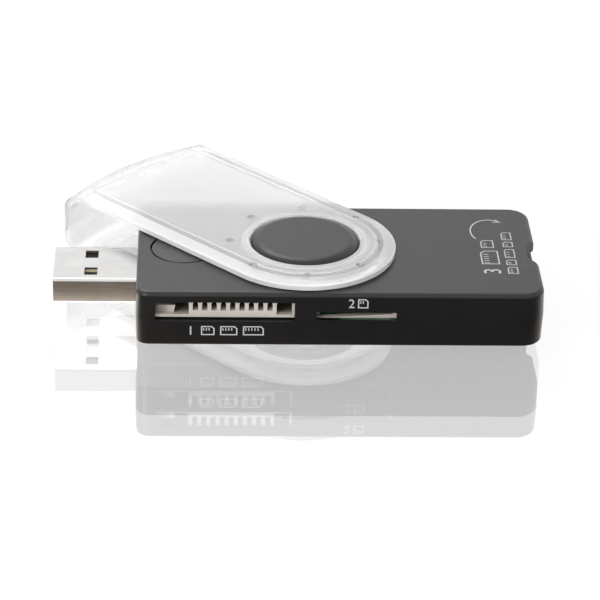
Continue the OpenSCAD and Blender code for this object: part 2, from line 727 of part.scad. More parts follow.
module main_card_cover() color([0.75, 0.76, 0.78]) {
    x1 = inner_end - board_gap;
    z = main_z + main_h;
    y1 = main_w / 2 + frame_wall;
    difference() {
        block([x1 - main_depth, -y1, z], [x1, y1, z + cover_t]);
        for (y = [-8, 8]) block([x1 - 13, y - 1.2, z - 1], [x1 - 5, y + 1.2, z + 1]);
    }
    for (y = [-8, 8]) block([x1 - 13 - nudge, y - 0.6, z], [x1 - 6, y + 0.6, z + cover_t]);
}

module main_card_contacts() color([0.85, 0.68, 0.3]) {
    x1 = inner_end - board_gap;
    back = x1 - main_depth + 3.1;
    pitch = 2.5;
    z = board_top + floor_t;
    for (i = [-4 : 4]) translate([0, i * pitch + 0.4, 0]) rotate([90, 0, 0]) linear_extrude(0.8) polygon([
        [back, z], [back + 3, z], [back + 6, z + 1], [back + 6, z + 1 + strip_t], [back + 3, z + strip_t], [back, z + strip_t]]);
}

// The micro card parts hang from the underside of the board
module micro_card_socket() color([0.14, 0.14, 0.15]) {
    x1 = inner_end - board_gap;
    card_frame(micro_w, micro_depth, micro_z, board_z - micro_z, 2);
    block([x1 - micro_depth, -micro_w / 2 - nudge, board_z - floor_t], [x1 - 2, micro_w / 2 + nudge, board_z]);
}

module micro_card_cover() color([0.75, 0.76, 0.78]) {
    x1 = inner_end - board_gap;
    y1 = micro_w / 2 + frame_wall;
    difference() {
        block([x1 - micro_depth, -y1, micro_z - cover_t], [x1, y1, micro_z]);
        block([x1 - 10, -3, micro_z - 1], [x1 - 5, 3, micro_z + 1]);
    }
}

module micro_card_contacts() color([0.85, 0.68, 0.3]) {
    x1 = inner_end - board_gap;
    back = x1 - micro_depth + 2.1;
    pitch = 1.1;
    z = board_z - floor_t;
    for (i = [0 : 7]) translate([0, (i - 3.5) * pitch + 0.3, 0]) rotate([90, 0, 0]) linear_extrude(0.6) polygon([
        [back, z], [back + 3, z], [back + 5, z - 0.5], [back + 5, z - 0.5 - strip_t],
        [back + 3, z - strip_t], [back, z - strip_t]]);
}

// Square chip with gull-wing leads on its four sides
module controller_chip() color([0.1, 0.1, 0.11]) translate([chip_x, chip_y, board_top]) {
    half = chip_size / 2;
    lead_count = 12;
    pitch = chip_size / (lead_count + 2);
    lead_w = pitch * 0.44;
    block([-half, -half, 0.1], [half, half, 1.4]);
    for (turn = [0 : 3], i = [0 : lead_count - 1]) rotate([0, 0, 90 * turn])
        translate([(i - (lead_count - 1) / 2) * pitch, half, 0])
            rotate([90, 0, -90]) translate([0, 0, -lead_w / 2]) linear_extrude(lead_w) polygon([
                [0.1, 0.6], [-0.5, 0.6], [-0.5, 0.2], [-1, 0.2], [-1, 0], [-0.35, 0], [-0.35, 0.45], [0.1, 0.45]]);
}

// Low metal can with rounded ends on a flat base
module crystal_can() color([0.8, 0.8, 0.82]) {
    brim = 0.4;
    x = long_right - crystal_len / 2 - brim;
    y = board_half - crystal_w * 0.75;
    translate([x, y, board_top]) {
        linear_extrude(brim) stadium(crystal_len, crystal_w);
        linear_extrude(room_over_board - crystal_room) stadium(crystal_len - 2 * brim, crystal_w - 2 * brim);
    }
}

module stadium(len, w) {
    square([len - w, w], center = true);
    for (x = [-1, 1]) translate([x * (len - w) / 2, 0]) circle(w / 2);
}

module voltage_regulator() color([0.1, 0.1, 0.11]) translate([light_x + light_r / 2, board_half - 3, board_top]) {
    block([-1.5, -0.75, 0.1], [1.5, 0.75, 1.1]);
    for (x = [-0.95, 0.95]) block([x - 0.2, -1.4, 0], [x + 0.2, -0.7, 0.2]);
    block([-0.2, 0.7, 0], [0.2, 1.4, 0.2]);
    for (p = [[-0.95, -0.75], [0.95, -0.75], [0, 0.75]]) block([p[0] - 0.2, p[1] - 0.05, 0], [p[0] + 0.2, p[1] + 0.05, 0.4]);
}

// Small lamp on the board beside the light window
module indicator_led() color([0.9, 0.95, 0.9]) translate([light_x, light_r * 1.5, board_top]) {
    block([-1, -0.6, 0], [1, 0.6, 0.5]);
    block([-0.6, -0.6, 0.5 - nudge], [0.6, 0.6, 1]);
}

// Small part of the given height on the board
module chip_part(x, y, h) {
    translate([x, y, board_top]) block([-part_len / 2, -part_w / 2, 0], [part_len / 2, part_w / 2, h]);
}

// A column on each side of the controller chip, one behind it and one beside the lamp
module capacitors() color([0.72, 0.6, 0.45]) {
    for (side = [-1, 1], row = [-0.5, -0.15, 0.4])
        chip_part(chip_x + side * chip_size * 0.9, chip_y + row * chip_size, capacitor_h);
    chip_part(chip_x - 2 * part_len, board_half - 2 * part_w, capacitor_h);
    chip_part(light_x - 1.4 * part_len, light_r * 1.75, capacitor_h);
}

// A row behind the small card socket and two behind the long one
module resistors() color([0.12, 0.12, 0.13]) {
    for (i = [0 : 4]) chip_part(small_left + (i + 0.5) * 1.4 * part_len, front_y + small_depth + 2.4 * part_w, resistor_h);
    for (i = [1, 2]) chip_part(long_x - i * 1.4 * part_len, front_y + long_depth + 2.2 * part_w, resistor_h);
}

placed() top_shell();
placed() bottom_shell();
placed() swivel_cap();
placed() light_window();
placed() circuit_board();
placed() usb_plug_shell();
placed() usb_plug_insulator();
placed() usb_plug_contacts();
placed() long_card_socket();
placed() long_card_cover();
placed() long_card_contacts();
placed() small_card_socket();
placed() small_card_cover();
placed() small_card_contacts();
placed() main_card_socket();
placed() main_card_cover();
placed() main_card_contacts();
placed() micro_card_socket();
placed() micro_card_cover();
placed() micro_card_contacts();
placed() controller_chip();
placed() crystal_can();
placed() voltage_regulator();
placed() indicator_led();
placed() capacitors();
placed() resistors();
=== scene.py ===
# %% [markdown]
# # A memory card reader with a clear swivel cap
# The object is a flat black plastic housing with a USB plug at one end, two card
# slots in its long side and a clear folded cap that turns round a hub. The CAD
# model gives every solid and its place. This script gives each one its finish,
# sets up the picture and adds the printed marks.

import json
import math

import bmesh
import bpy
from mathutils import Matrix, Vector
from mathutils.bvhtree import BVHTree

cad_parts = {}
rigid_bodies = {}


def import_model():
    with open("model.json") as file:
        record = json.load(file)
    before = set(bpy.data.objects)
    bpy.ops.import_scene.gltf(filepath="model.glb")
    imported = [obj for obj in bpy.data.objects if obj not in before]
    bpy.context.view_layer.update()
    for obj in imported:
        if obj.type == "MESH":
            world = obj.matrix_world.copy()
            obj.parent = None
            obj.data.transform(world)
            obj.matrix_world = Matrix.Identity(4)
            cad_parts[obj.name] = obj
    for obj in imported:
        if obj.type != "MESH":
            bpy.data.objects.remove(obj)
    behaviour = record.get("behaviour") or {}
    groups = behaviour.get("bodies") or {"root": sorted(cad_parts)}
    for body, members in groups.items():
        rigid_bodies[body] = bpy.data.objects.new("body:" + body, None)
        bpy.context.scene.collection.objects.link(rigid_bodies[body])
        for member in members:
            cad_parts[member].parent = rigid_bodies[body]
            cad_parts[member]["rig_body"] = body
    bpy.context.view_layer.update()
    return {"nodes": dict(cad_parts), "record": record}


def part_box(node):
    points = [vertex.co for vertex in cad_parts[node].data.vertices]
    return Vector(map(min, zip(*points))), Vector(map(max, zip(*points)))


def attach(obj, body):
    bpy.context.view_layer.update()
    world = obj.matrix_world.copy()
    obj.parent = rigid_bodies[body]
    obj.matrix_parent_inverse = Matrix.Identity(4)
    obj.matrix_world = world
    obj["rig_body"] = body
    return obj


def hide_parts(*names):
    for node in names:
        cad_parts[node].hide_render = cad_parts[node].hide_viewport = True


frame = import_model()
print("CAD nodes:", len(frame["nodes"]))

# %% [markdown]
# Drawings of small products are in millimetres and Blender works in metres. One
# factor turns the one into the other, so every size below can be read as on a
# drawing. The origin is the middle of the plug, where it leaves the housing.

# %% Units and the main places
MM = 0.001
HUB_X = 27.95
UNDERSIDE_Z = -4.4
TOP_Z = 5.1
REST_Z = -6.5
CAP_TURN = math.radians(135)


def place_mm(x, y, z):
    """A point given in millimetres, as Blender wants it."""
    return Vector((x, y, z)) * MM


# %% [markdown]
# ## The camera
# The picture was taken with a long lens from a little above, almost square to
# the long side. A camera could be aimed with a Track To constraint, but here its
# three axes are written from the turn, the tilt and the roll, because all three
# were measured from the edges of the housing. The lens is as long as the weak
# perspective of the parallel edges asks for.

# %% Set the camera
CAMERA_TURN = math.radians(-2.467)
CAMERA_TILT = math.radians(28.158)
CAMERA_ROLL = math.radians(1.517)
CAMERA_LENS = 166.0034
CAMERA_AWAY = (-0.574, -0.143, 464.9)  # mm right of, above and back from the hub's foot
SENSOR_WIDTH = 36
CLIP_NEAR, CLIP_FAR = 0.02, 20  # in metres


def camera_axes(turn, tilt, roll):
    """Right, up and back of a camera that looks at the object, as unit vectors."""
    back = Vector(
        (
            math.sin(turn) * math.cos(tilt),
            -math.cos(turn) * math.cos(tilt),
            math.sin(tilt),
        )
    )
    right = Vector((0, 0, 1)).cross(back).normalized()
    up = back.cross(right)
    rolled_right = math.cos(roll) * right + math.sin(roll) * up
    rolled_up = math.cos(roll) * up - math.sin(roll) * right
    return rolled_right, rolled_up, back


def add_camera():
    right, up, back = camera_axes(CAMERA_TURN, CAMERA_TILT, CAMERA_ROLL)
    data = bpy.data.cameras.new("camera")
    data.lens = CAMERA_LENS
    data.sensor_width = SENSOR_WIDTH
    data.clip_start = CLIP_NEAR
    data.clip_end = CLIP_FAR
    camera = bpy.data.objects.new("camera", data)
    bpy.context.scene.collection.objects.link(camera)
    axes = Matrix((right, up, back))
    away = axes.transposed() @ Vector(CAMERA_AWAY)
    spot = (away + Vector((HUB_X, 0, UNDERSIDE_Z))) * MM
    camera.matrix_world = Matrix.Translation(spot) @ axes.transposed().to_4x4()
    bpy.context.scene.camera = camera
    return camera


camera = add_camera()
print("camera at", [round(v, 3) for v in camera.location])

# %% [markdown]
# ## Light and surroundings
# The reader lies on a glossy white sheet in a white tent. The world is the tent.
# Light Path tells which kind of ray asks: what the camera and the clear plastic
# see is plain white, what polished surfaces mirror is a little brighter, and
# what lights matt surfaces is dimmer, so that colours come out as written.

# %% Build the world
SEEN_WHITE = 1.0
MIRRORED_WHITE = 1.25
FILL_LIGHT = 0.58


def math_node(tree, kind, first, second=None):
    """A Math node whose inputs may be sockets or numbers; gives its output."""
    node = tree.nodes.new("ShaderNodeMath")
    node.operation = kind
    for slot, value in enumerate((first, second)):
        if value is None:
            continue
        if isinstance(value, (int, float)):
            node.inputs[slot].default_value = value
        else:
            tree.links.new(value, node.inputs[slot])
    return node.outputs[0]


def times(tree, first, second):
    return math_node(tree, "MULTIPLY", first, second)


def plus(tree, first, second):
    return math_node(tree, "ADD", first, second)


def minus(tree, first, second):
    return math_node(tree, "SUBTRACT", first, second)


def either(tree, first, second):
    return math_node(tree, "MAXIMUM", first, second)


def between(tree, value, low, high, to_low=0.0, to_high=1.0, smooth=False):
    """A Map Range node: low..high becomes to_low..to_high, clamped."""
    node = tree.nodes.new("ShaderNodeMapRange")
    node.interpolation_type = "SMOOTHSTEP" if smooth else "LINEAR"
    tree.links.new(value, node.inputs["Value"])
    node.inputs["From Min"].default_value = low
    node.inputs["From Max"].default_value = high
    node.inputs["To Min"].default_value = to_low
    node.inputs["To Max"].default_value = to_high
    return node.outputs["Result"]


def mix_colour(tree, mask, first, second):
    """A Mix node that goes from the first colour to the second where the mask is 1."""
    node = tree.nodes.new("ShaderNodeMix")
    node.data_type = "RGBA"
    tree.links.new(mask, node.inputs["Factor"])
    for socket, value in (("A", first), ("B", second)):
        target = [s for s in node.inputs if s.name == socket and s.type == "RGBA"][0]
        if isinstance(value, tuple):
            target.default_value = value + (1,)
        else:
            tree.links.new(value, target)
    return [s for s in node.outputs if s.type == "RGBA"][0]


def build_world():
    world = bpy.data.worlds.new("white_tent")
    bpy.context.scene.world = world
    world.use_nodes = True
    tree = world.node_tree
    tree.nodes.clear()
    path = tree.nodes.new("ShaderNodeLightPath").outputs
    seen = either(tree, path["Is Camera Ray"], path["Is Transmission Ray"])
    seen_part = times(tree, seen, SEEN_WHITE - FILL_LIGHT)
    mirrored = times(tree, path["Is Glossy Ray"], MIRRORED_WHITE - FILL_LIGHT)
    strength = plus(tree, either(tree, seen_part, mirrored), FILL_LIGHT)
    background = tree.nodes.new("ShaderNodeBackground")
    background.inputs["Color"].default_value = (1, 1, 1, 1)
    tree.links.new(strength, background.inputs["Strength"])
    output = tree.nodes.new("ShaderNodeOutputWorld")
    tree.links.new(background.outputs[0], output.inputs["Surface"])


build_world()
bpy.context.scene.view_settings.view_transform = "Standard"
print("world strengths:", SEEN_WHITE, MIRRORED_WHITE, FILL_LIGHT)

# %% [markdown]
# Two soft boxes hang in the tent. The large one behind and above draws the pale
# sheen on the upper faces and the bright lines in the bevels of the cap. The
# smaller one at the front left lights the front side and lifts the shadows in the
# slots. An area lamp is used for both, because its size gives the soft edge of a
# shadow.

# %% Hang the lamps
LAMPS = {  # place in mm, width in mm, power in watts
    "soft_box_back": ((-90, 300, 450), 320, 1.15),
    "soft_box_front": ((-260, -380, 230), 200, 1.1),
}


def hang_lamp(name, spot, width, watts):
    data = bpy.data.lights.new(name, "AREA")
    data.shape = "SQUARE"
    data.size = width * MM
    data.energy = watts
    lamp = bpy.data.objects.new(name, data)
    bpy.context.scene.collection.objects.link(lamp)
    lamp.location = place_mm(*spot)
    aim = place_mm(HUB_X, 0, 0) - lamp.location
    lamp.rotation_euler = aim.to_track_quat("-Z", "Y").to_euler()


for name, (spot, width, watts) in LAMPS.items():
    hang_lamp(name, spot, width, watts)
    print(name, "at", spot, "mm,", watts, "W")

# %% [markdown]
# The reader lies on a glass plate over a white sheet, so its mirror image is seen
# twice: weakly in the upper face of the glass and more strongly in the lower one.
# Two planes give that. The upper one mirrors a little and lets the rest through.
# The lower one mixes Glossy, Emission for the lit sheet, and a little Diffuse that
# keeps the shadow. Light Path gives the other rays a plain sheet: even white for
# the soft light on matt faces, and for mirrored rays a sheet that is white only
# under the reader, brownish grey in front of it and dimmer behind it, because the
# dark front sides of the plug and of the housing show it so. Backfacing makes both
# planes clear from below, so that the reader's underside can be looked at.

# %% Lay the floor
FLOOR_HALF = 3000
GLASS_DEPTH = 2.0
GLASS_MIRROR = 0.136
GLASS_CLEAR = 0.83
SHEET_MIRROR = 0.32
SHEET_GLOW = 0.5
SHEET_SHADE = 0.12
SHEET_MATT = 0.95
MIRROR_ROUGH = 0.015
MIRRORED_NEAR = 1.6
MIRRORED_FAR = 0.1
FADE_WIDTH = 24
FADE_BEHIND = 0.4
LEFT_GAIN = 2.5
LEFT_WIDTH = 40
TINT_FAR = (1.0, 0.82, 0.67)
TINT_NEAR = (1.0, 0.98, 0.96)


def add_shaders(tree, first, second):
    node = tree.nodes.new("ShaderNodeAddShader")
    tree.links.new(first.outputs[0], node.inputs[0])
    tree.links.new(second.outputs[0], node.inputs[1])
    return node


def plain_shader(tree, kind, level=1.0):
    """A shader node of one grey level."""
    node = tree.nodes.new(kind)
    node.inputs["Color"].default_value = (level, level, level, 1)
    return node


def mirror_shader(tree, level):
    node = plain_shader(tree, "ShaderNodeBsdfGlossy", level)
    node.inputs["Roughness"].default_value = MIRROR_ROUGH
    return node


def floor_tree(name):
    """An empty floor material, its Light Path and the mask of rays that see it whole."""
    material = bpy.data.materials.new(name)
    material.use_nodes = True
    tree = material.node_tree
    tree.nodes.clear()
    path = tree.nodes.new("ShaderNodeLightPath").outputs
    seen = either(tree, path["Is Camera Ray"], path["Is Transmission Ray"])
    return material, tree, path, seen


def switch_shaders(tree, mask, off_shader, on_shader):
    switch = tree.nodes.new("ShaderNodeMixShader")
    tree.links.new(mask, switch.inputs[0])
    tree.links.new(off_shader.outputs[0], switch.inputs[1])
    tree.links.new(on_shader.outputs[0], switch.inputs[2])
    return switch


def end_material(tree, shader):
    """Finish a floor material; from below it is clear, so the underside can be seen."""
    below = tree.nodes.new("ShaderNodeNewGeometry").outputs["Backfacing"]
    clear = plain_shader(tree, "ShaderNodeBsdfTransparent")
    shader = switch_shaders(tree, below, shader, clear)
    output = tree.nodes.new("ShaderNodeOutputMaterial")
    tree.links.new(shader.outputs[0], output.inputs["Surface"])


def glass_material():
    material, tree, path, seen = floor_tree("glass_top")
    clear = plain_shader(tree, "ShaderNodeBsdfTransparent", GLASS_CLEAR)
    both = add_shaders(tree, mirror_shader(tree, GLASS_MIRROR), clear)
    gone = plain_shader(tree, "ShaderNodeBsdfTransparent")
    end_material(tree, switch_shaders(tree, seen, gone, both))
    return material


def sheet_material():
    material, tree, path, seen = floor_tree("white_sheet")
    glow = tree.nodes.new("ShaderNodeEmission")
    glow.inputs["Strength"].default_value = SHEET_GLOW
    shade = plain_shader(tree, "ShaderNodeBsdfDiffuse", SHEET_SHADE)
    bright = add_shaders(tree, mirror_shader(tree, SHEET_MIRROR), glow)
    white = add_shaders(tree, bright, shade)
    split = tree.nodes.new("ShaderNodeSeparateXYZ")
    tree.links.new(tree.nodes.new("ShaderNodeTexCoord").outputs["Object"], split.inputs[0])
    x, y = split.outputs["X"], split.outputs["Y"]
    before = between(tree, y, -FADE_WIDTH * MM, 0, smooth=True)
    behind = between(tree, y, 0, FADE_WIDTH * MM, 1, FADE_BEHIND, smooth=True)
    under = math_node(tree, "MINIMUM", before, behind)
    level = between(tree, under, 0, 1, MIRRORED_FAR, MIRRORED_NEAR)
    left = between(tree, x, 0, LEFT_WIDTH * MM, LEFT_GAIN, 1)
    mirrored = tree.nodes.new("ShaderNodeEmission")
    tree.links.new(times(tree, level, left), mirrored.inputs["Strength"])
    tint = mix_colour(tree, before, TINT_FAR, TINT_NEAR)
    tree.links.new(tint, mirrored.inputs["Color"])
    matt = plain_shader(tree, "ShaderNodeEmission", SHEET_MATT)
    unseen = switch_shaders(tree, path["Is Glossy Ray"], matt, mirrored)
    end_material(tree, switch_shaders(tree, seen, unseen, white))
    return material


def add_plane(name, height, material):
    mesh = bpy.data.meshes.new(name)
    corners = [(-1, -1), (1, -1), (1, 1), (-1, 1)]
    mesh.from_pydata(
        [place_mm(x * FLOOR_HALF, y * FLOOR_HALF, height) for x, y in corners],
        [],
        [(0, 1, 2, 3)],
    )
    plane = bpy.data.objects.new(name, mesh)
    bpy.context.scene.collection.objects.link(plane)
    mesh.materials.append(material)


add_plane("floor_sheet", REST_Z - GLASS_DEPTH, sheet_material())
add_plane("floor_glass", REST_Z, glass_material())
print("glass at z", REST_Z, "mm, sheet", GLASS_DEPTH, "mm below")

# %% [markdown]
# ## Effects that several finishes share
# A moulded face is never quite even: the spark-eroded mould leaves a fine grain
# and the plastic flows with slow changes of gloss. Both come from noise in a node
# group, so that each plastic only sets its own grain size. The group gives a
# height, a slow tone and a slow polish, and the shader stays in the material.

# %% Group: moulded grain
POLISH_FINER = 2.7  # patches of polish are this much finer than those of tone


def start_group(name, inputs, outputs):
    """An empty shader group with named sockets; inputs are name -> default value."""
    tree = bpy.data.node_groups.new(name, "ShaderNodeTree")
    for label, value in inputs.items():
        kind = "NodeSocketVector" if value is None else "NodeSocketFloat"
        socket = tree.interface.new_socket(label, in_out="INPUT", socket_type=kind)
        if value is not None:
            socket.default_value = value
    for label in outputs:
        tree.interface.new_socket(label, in_out="OUTPUT", socket_type="NodeSocketFloat")
    entry = tree.nodes.new("NodeGroupInput")
    result = tree.nodes.new("NodeGroupOutput")
    return tree, entry.outputs, result.inputs


def noise(tree, vector, scale, detail=2.0, rough=0.5):
    node = tree.nodes.new("ShaderNodeTexNoise")
    node.inputs["Detail"].default_value = detail
    node.inputs["Roughness"].default_value = rough
    tree.links.new(vector, node.inputs["Vector"])
    tree.links.new(scale, node.inputs["Scale"])
    return node.outputs["Fac"]


def build_grain_group():
    tree, given, out = start_group(
        "moulded_grain",
        {"Vector": None, "Grain Scale": 9000.0, "Flow Scale": 120.0},
        ["Height", "Tone", "Polish"],
    )
    grain = noise(tree, given["Vector"], given["Grain Scale"], detail=3.0, rough=0.6)
    flow = noise(tree, given["Vector"], given["Flow Scale"])
    finer = times(tree, given["Flow Scale"], POLISH_FINER)
    handled = noise(tree, given["Vector"], finer, detail=4.0, rough=0.65)
    tree.links.new(grain, out["Height"])
    tree.links.new(between(tree, flow, 0.3, 0.7), out["Tone"])
    tree.links.new(between(tree, handled, 0.35, 0.7), out["Polish"])
    return tree


moulded_grain = build_grain_group()
print("group", moulded_grain.name, "ready")

# %% [markdown]
# Rolled sheet keeps fine lines along its rolling direction, and plating shows
# faint clouds. The same noise is stretched along one axis for the lines. The
# group is shared by the plug, the covers of the sockets and the crystal's can.

# %% Group: rolled sheet
ROLLED_STRETCH = (0.06, 1, 1)


def build_sheet_group():
    tree, given, out = start_group(
        "rolled_sheet",
        {"Vector": None, "Line Scale": 2600.0, "Cloud Scale": 260.0},
        ["Height", "Lines", "Clouds"],
    )
    stretch = tree.nodes.new("ShaderNodeMapping")
    stretch.inputs["Scale"].default_value = ROLLED_STRETCH
    tree.links.new(given["Vector"], stretch.inputs["Vector"])
    lines = noise(tree, stretch.outputs[0], given["Line Scale"], detail=3.0)
    clouds = noise(tree, given["Vector"], given["Cloud Scale"], detail=3.0)
    tree.links.new(lines, out["Height"])
    tree.links.new(between(tree, lines, 0.35, 0.65), out["Lines"])
    tree.links.new(between(tree, clouds, 0.35, 0.7), out["Clouds"])
    return tree


rolled_sheet = build_sheet_group()
print("group", rolled_sheet.name, "ready")

# %% [markdown]
# Each leaf of the cap has zones. A finely frosted field lies inside the border rib,
# from the collar at the hub to the fold. Outside the rib run a narrow groove and
# then the bevel, and eight dimples lie in a ring round the hub. The zones follow the
# cap's own outline, a straight strip with a round end. A painted picture could
# give them, but masks from distances stay sharp at any size. So the group measures
# how far a point is from the middle line, from the hub and from the next dimple.

# %% Group: zones of the cap
# Every edge of a zone is a soft step between two distances in mm.
FIELD_EDGE = (11.6, 11.75)
FOLD_EDGE = (34.6, 40.6)
COLLAR_EDGE = (10.4, 10.8)
GROOVE_START = (12.05, 12.25)
GROOVE_END = (12.8, 13.3)
BEVEL_START = (13.1, 13.5)
BEVEL_END = (14.6, 14.9)
DIMPLE_EDGE = (0.4, 0.75)
DIMPLE_RING_R = 12.45
DIMPLES = 8


def rising(tree, distance, edge):
    return between(tree, distance, edge[0] * MM, edge[1] * MM)


def falling(tree, distance, edge, smooth=False):
    return between(tree, distance, edge[0] * MM, edge[1] * MM, 1, 0, smooth)


def length(tree, first, second):
    """How far apart two points are whose places differ by these two lengths."""
    squares = plus(tree, times(tree, first, first), times(tree, second, second))
    return math_node(tree, "SQRT", squares)


def from_next_dimple(tree, x, y, from_hub):
    """How far a point is from the nearest dimple of the ring."""
    step = 2 * math.pi / DIMPLES
    steps = math_node(tree, "DIVIDE", math_node(tree, "ARCTAN2", y, x), step)
    past = minus(tree, steps, math_node(tree, "ROUND", steps))
    round_way = times(tree, past, step * DIMPLE_RING_R * MM)
    return length(tree, round_way, minus(tree, from_hub, DIMPLE_RING_R * MM))


def build_zone_group():
    tree, given, out = start_group(
        "cap_zones", {"Vector": None}, ["Field", "Fold", "Groove", "Bevel", "Dimple"]
    )
    moved = tree.nodes.new("ShaderNodeVectorMath")
    moved.operation = "SUBTRACT"
    tree.links.new(given["Vector"], moved.inputs[0])
    moved.inputs[1].default_value = place_mm(HUB_X, 0, 0)
    split = tree.nodes.new("ShaderNodeSeparateXYZ")
    tree.links.new(moved.outputs[0], split.inputs[0])
    x, y = split.outputs["X"], split.outputs["Y"]
    cos, sin = math.cos(CAP_TURN), math.sin(CAP_TURN)
    along = plus(tree, times(tree, x, cos), times(tree, y, sin))
    across = minus(tree, times(tree, y, cos), times(tree, x, sin))
    from_line = length(tree, across, math_node(tree, "MINIMUM", along, 0.0))
    from_hub = length(tree, x, y)
    before_fold = falling(tree, along, FOLD_EDGE, smooth=True)
    field = times(tree, falling(tree, from_line, FIELD_EDGE), before_fold)
    field = times(tree, field, rising(tree, from_hub, COLLAR_EDGE))
    groove = times(
        tree, rising(tree, from_line, GROOVE_START), falling(tree, from_line, GROOVE_END)
    )
    bevel = times(tree, rising(tree, from_line, BEVEL_START), falling(tree, from_line, BEVEL_END))
    dimple = falling(tree, from_next_dimple(tree, x, y, from_hub), DIMPLE_EDGE)
    for label, mask in (
        ("Field", field),
        ("Fold", minus(tree, 1.0, before_fold)),
        ("Groove", times(tree, groove, before_fold)),
        ("Bevel", bevel),
        ("Dimple", dimple),
    ):
        tree.links.new(mask, out[label])
    return tree


cap_zones = build_zone_group()
print("group", cap_zones.name, "ready")

# %% [markdown]
# ## Finishes
# Each finish starts from the same few nodes: object coordinates, the shader and
# one shared group. blank_material and use_group make those, and each material then
# adds what is its own. Numbers that are the same all over a piece are set on the
# shader itself.

# %% Helpers for the finishes
def blank_material(name):
    material = bpy.data.materials.new(name)
    material.use_nodes = True
    tree = material.node_tree
    shader = tree.nodes["Principled BSDF"]
    place = tree.nodes.new("ShaderNodeTexCoord").outputs["Object"]
    return material, tree, shader, place


def use_group(tree, group, vector, **values):
    node = tree.nodes.new("ShaderNodeGroup")
    node.node_tree = group
    tree.links.new(vector, node.inputs["Vector"])
    for label, value in values.items():
        node.inputs[label.replace("_", " ")].default_value = value
    return node.outputs


def add_bump(tree, shader, height, distance, strength):
    bump = tree.nodes.new("ShaderNodeBump")
    bump.inputs["Distance"].default_value = distance * MM
    bump.inputs["Strength"].default_value = strength
    tree.links.new(height, bump.inputs["Height"])
    tree.links.new(bump.outputs[0], shader.inputs["Normal"])


# %% [markdown]
# Every plastic of the reader except the cap is the same recipe with other
# numbers: two close colours mixed by the slow tone, a roughness that wanders a
# little with the polish, and the fine grain as a bump. So one function makes them
# all from a small table.

# %% The moulded plastics
PLASTICS = {  # darker colour, paler colour, roughness and what else is its own
    "housing_black": ((0.006, 0.006, 0.0063), (0.008, 0.008, 0.0084), 0.36, {"shine": 0.42}),
    "window_dark": ((0.007, 0.007, 0.0075), (0.009, 0.009, 0.0095), 0.3, {}),
    "plug_black": ((0.2, 0.196, 0.19), (0.25, 0.246, 0.24), 0.45, {}),
    "socket_beige": ((0.56, 0.52, 0.46), (0.66, 0.62, 0.56), 0.42, {"grain": 12000.0}),
    "socket_black": ((0.016, 0.016, 0.017), (0.024, 0.024, 0.026), 0.5, {}),
    "chip_black": ((0.014, 0.014, 0.015), (0.02, 0.02, 0.021), 0.55, {"grain": 16000.0}),
    "ceramic_tan": ((0.26, 0.17, 0.09), (0.34, 0.23, 0.13), 0.4, {"grain": 14000.0}),
}
PLASTIC_WANDER = 0.04
PLASTIC_BUMP = 0.5


def moulded_plastic(name, dark, pale, rough, grain=9000.0, depth=0.004, shine=0.5):
    material, tree, shader, place = blank_material(name)
    shader.inputs["Specular IOR Level"].default_value = shine
    out = use_group(tree, moulded_grain, place, Grain_Scale=grain)
    colour = mix_colour(tree, out["Tone"], dark, pale)
    tree.links.new(colour, shader.inputs["Base Color"])
    ends = rough - PLASTIC_WANDER, rough + PLASTIC_WANDER
    tree.links.new(between(tree, out["Polish"], 0, 1, *ends), shader.inputs["Roughness"])
    add_bump(tree, shader, out["Height"], depth, PLASTIC_BUMP)
    return material


finishes = {
    name: moulded_plastic(name, dark, pale, rough, **own)
    for name, (dark, pale, rough, own) in PLASTICS.items()
}
print("plastics:", ", ".join(finishes))

# %% [markdown]
# Deep in a slot the tray is painted darker and browner than at its mouth. That is painted shade,
# for the little light that reaches so far in. A mask on the depth behind the front side brings
# that in.

# %% Darken the trays inside
SLOT_MOUTH_Y = -14.8
SLOT_DARK_Y = -12.6
# painted shade: the darker, browner colour the tray takes deep in the slot
SLOT_SHADE_BEIGE = (0.18, 0.15, 0.125)


def darker_inside(material, tint):
    tree = material.node_tree
    target = tree.nodes["Principled BSDF"].inputs["Base Color"]
    fresh = target.links[0].from_socket
    split = tree.nodes.new("ShaderNodeSeparateXYZ")
    tree.links.new(tree.nodes.new("ShaderNodeTexCoord").outputs["Object"], split.inputs[0])
    depth = between(tree, split.outputs["Y"], SLOT_MOUTH_Y * MM, SLOT_DARK_Y * MM, smooth=True)
    tree.links.new(mix_colour(tree, depth, fresh, tint), target)


# paints shade into the trays, darker towards the back of the slots
darker_inside(finishes["socket_beige"], SLOT_SHADE_BEIGE)
print("trays grow darker from y", SLOT_MOUTH_Y, "to", SLOT_DARK_Y, "mm")

# %% [markdown]
# The sheet metals share a recipe too. Bright nickel on the plug mirrors the tent,
# the socket covers are duller, and the contacts are gold over nickel. Metallic is
# one plain number on the shader, and only colour, roughness and bump vary.

# %% The metals
METALS = {  # duller colour, brighter colour, roughness and fineness of the lines
    "plug_steel": ((0.55, 0.543, 0.535), (0.6, 0.593, 0.585), 0.16, 2600.0),
    "cover_steel": ((0.42, 0.42, 0.43), (0.55, 0.55, 0.56), 0.34, 2600.0),
    "can_metal": ((0.5, 0.5, 0.52), (0.6, 0.6, 0.62), 0.28, 2600.0),
    "contact_gold": ((0.28, 0.235, 0.16), (0.37, 0.31, 0.21), 0.36, 5200.0),
}
METAL_WANDER = (-0.04, 0.05)
METAL_DEPTH, METAL_BUMP = 0.0015, 0.4


def sheet_metal(name, deep, bright, rough, lines):
    material, tree, shader, place = blank_material(name)
    shader.inputs["Metallic"].default_value = 1.0
    out = use_group(tree, rolled_sheet, place, Line_Scale=lines)
    colour = mix_colour(tree, out["Clouds"], deep, bright)
    tree.links.new(colour, shader.inputs["Base Color"])
    ends = [rough + wander for wander in METAL_WANDER]
    tree.links.new(between(tree, out["Lines"], 0, 1, *ends), shader.inputs["Roughness"])
    add_bump(tree, shader, out["Height"], METAL_DEPTH, METAL_BUMP)
    return material


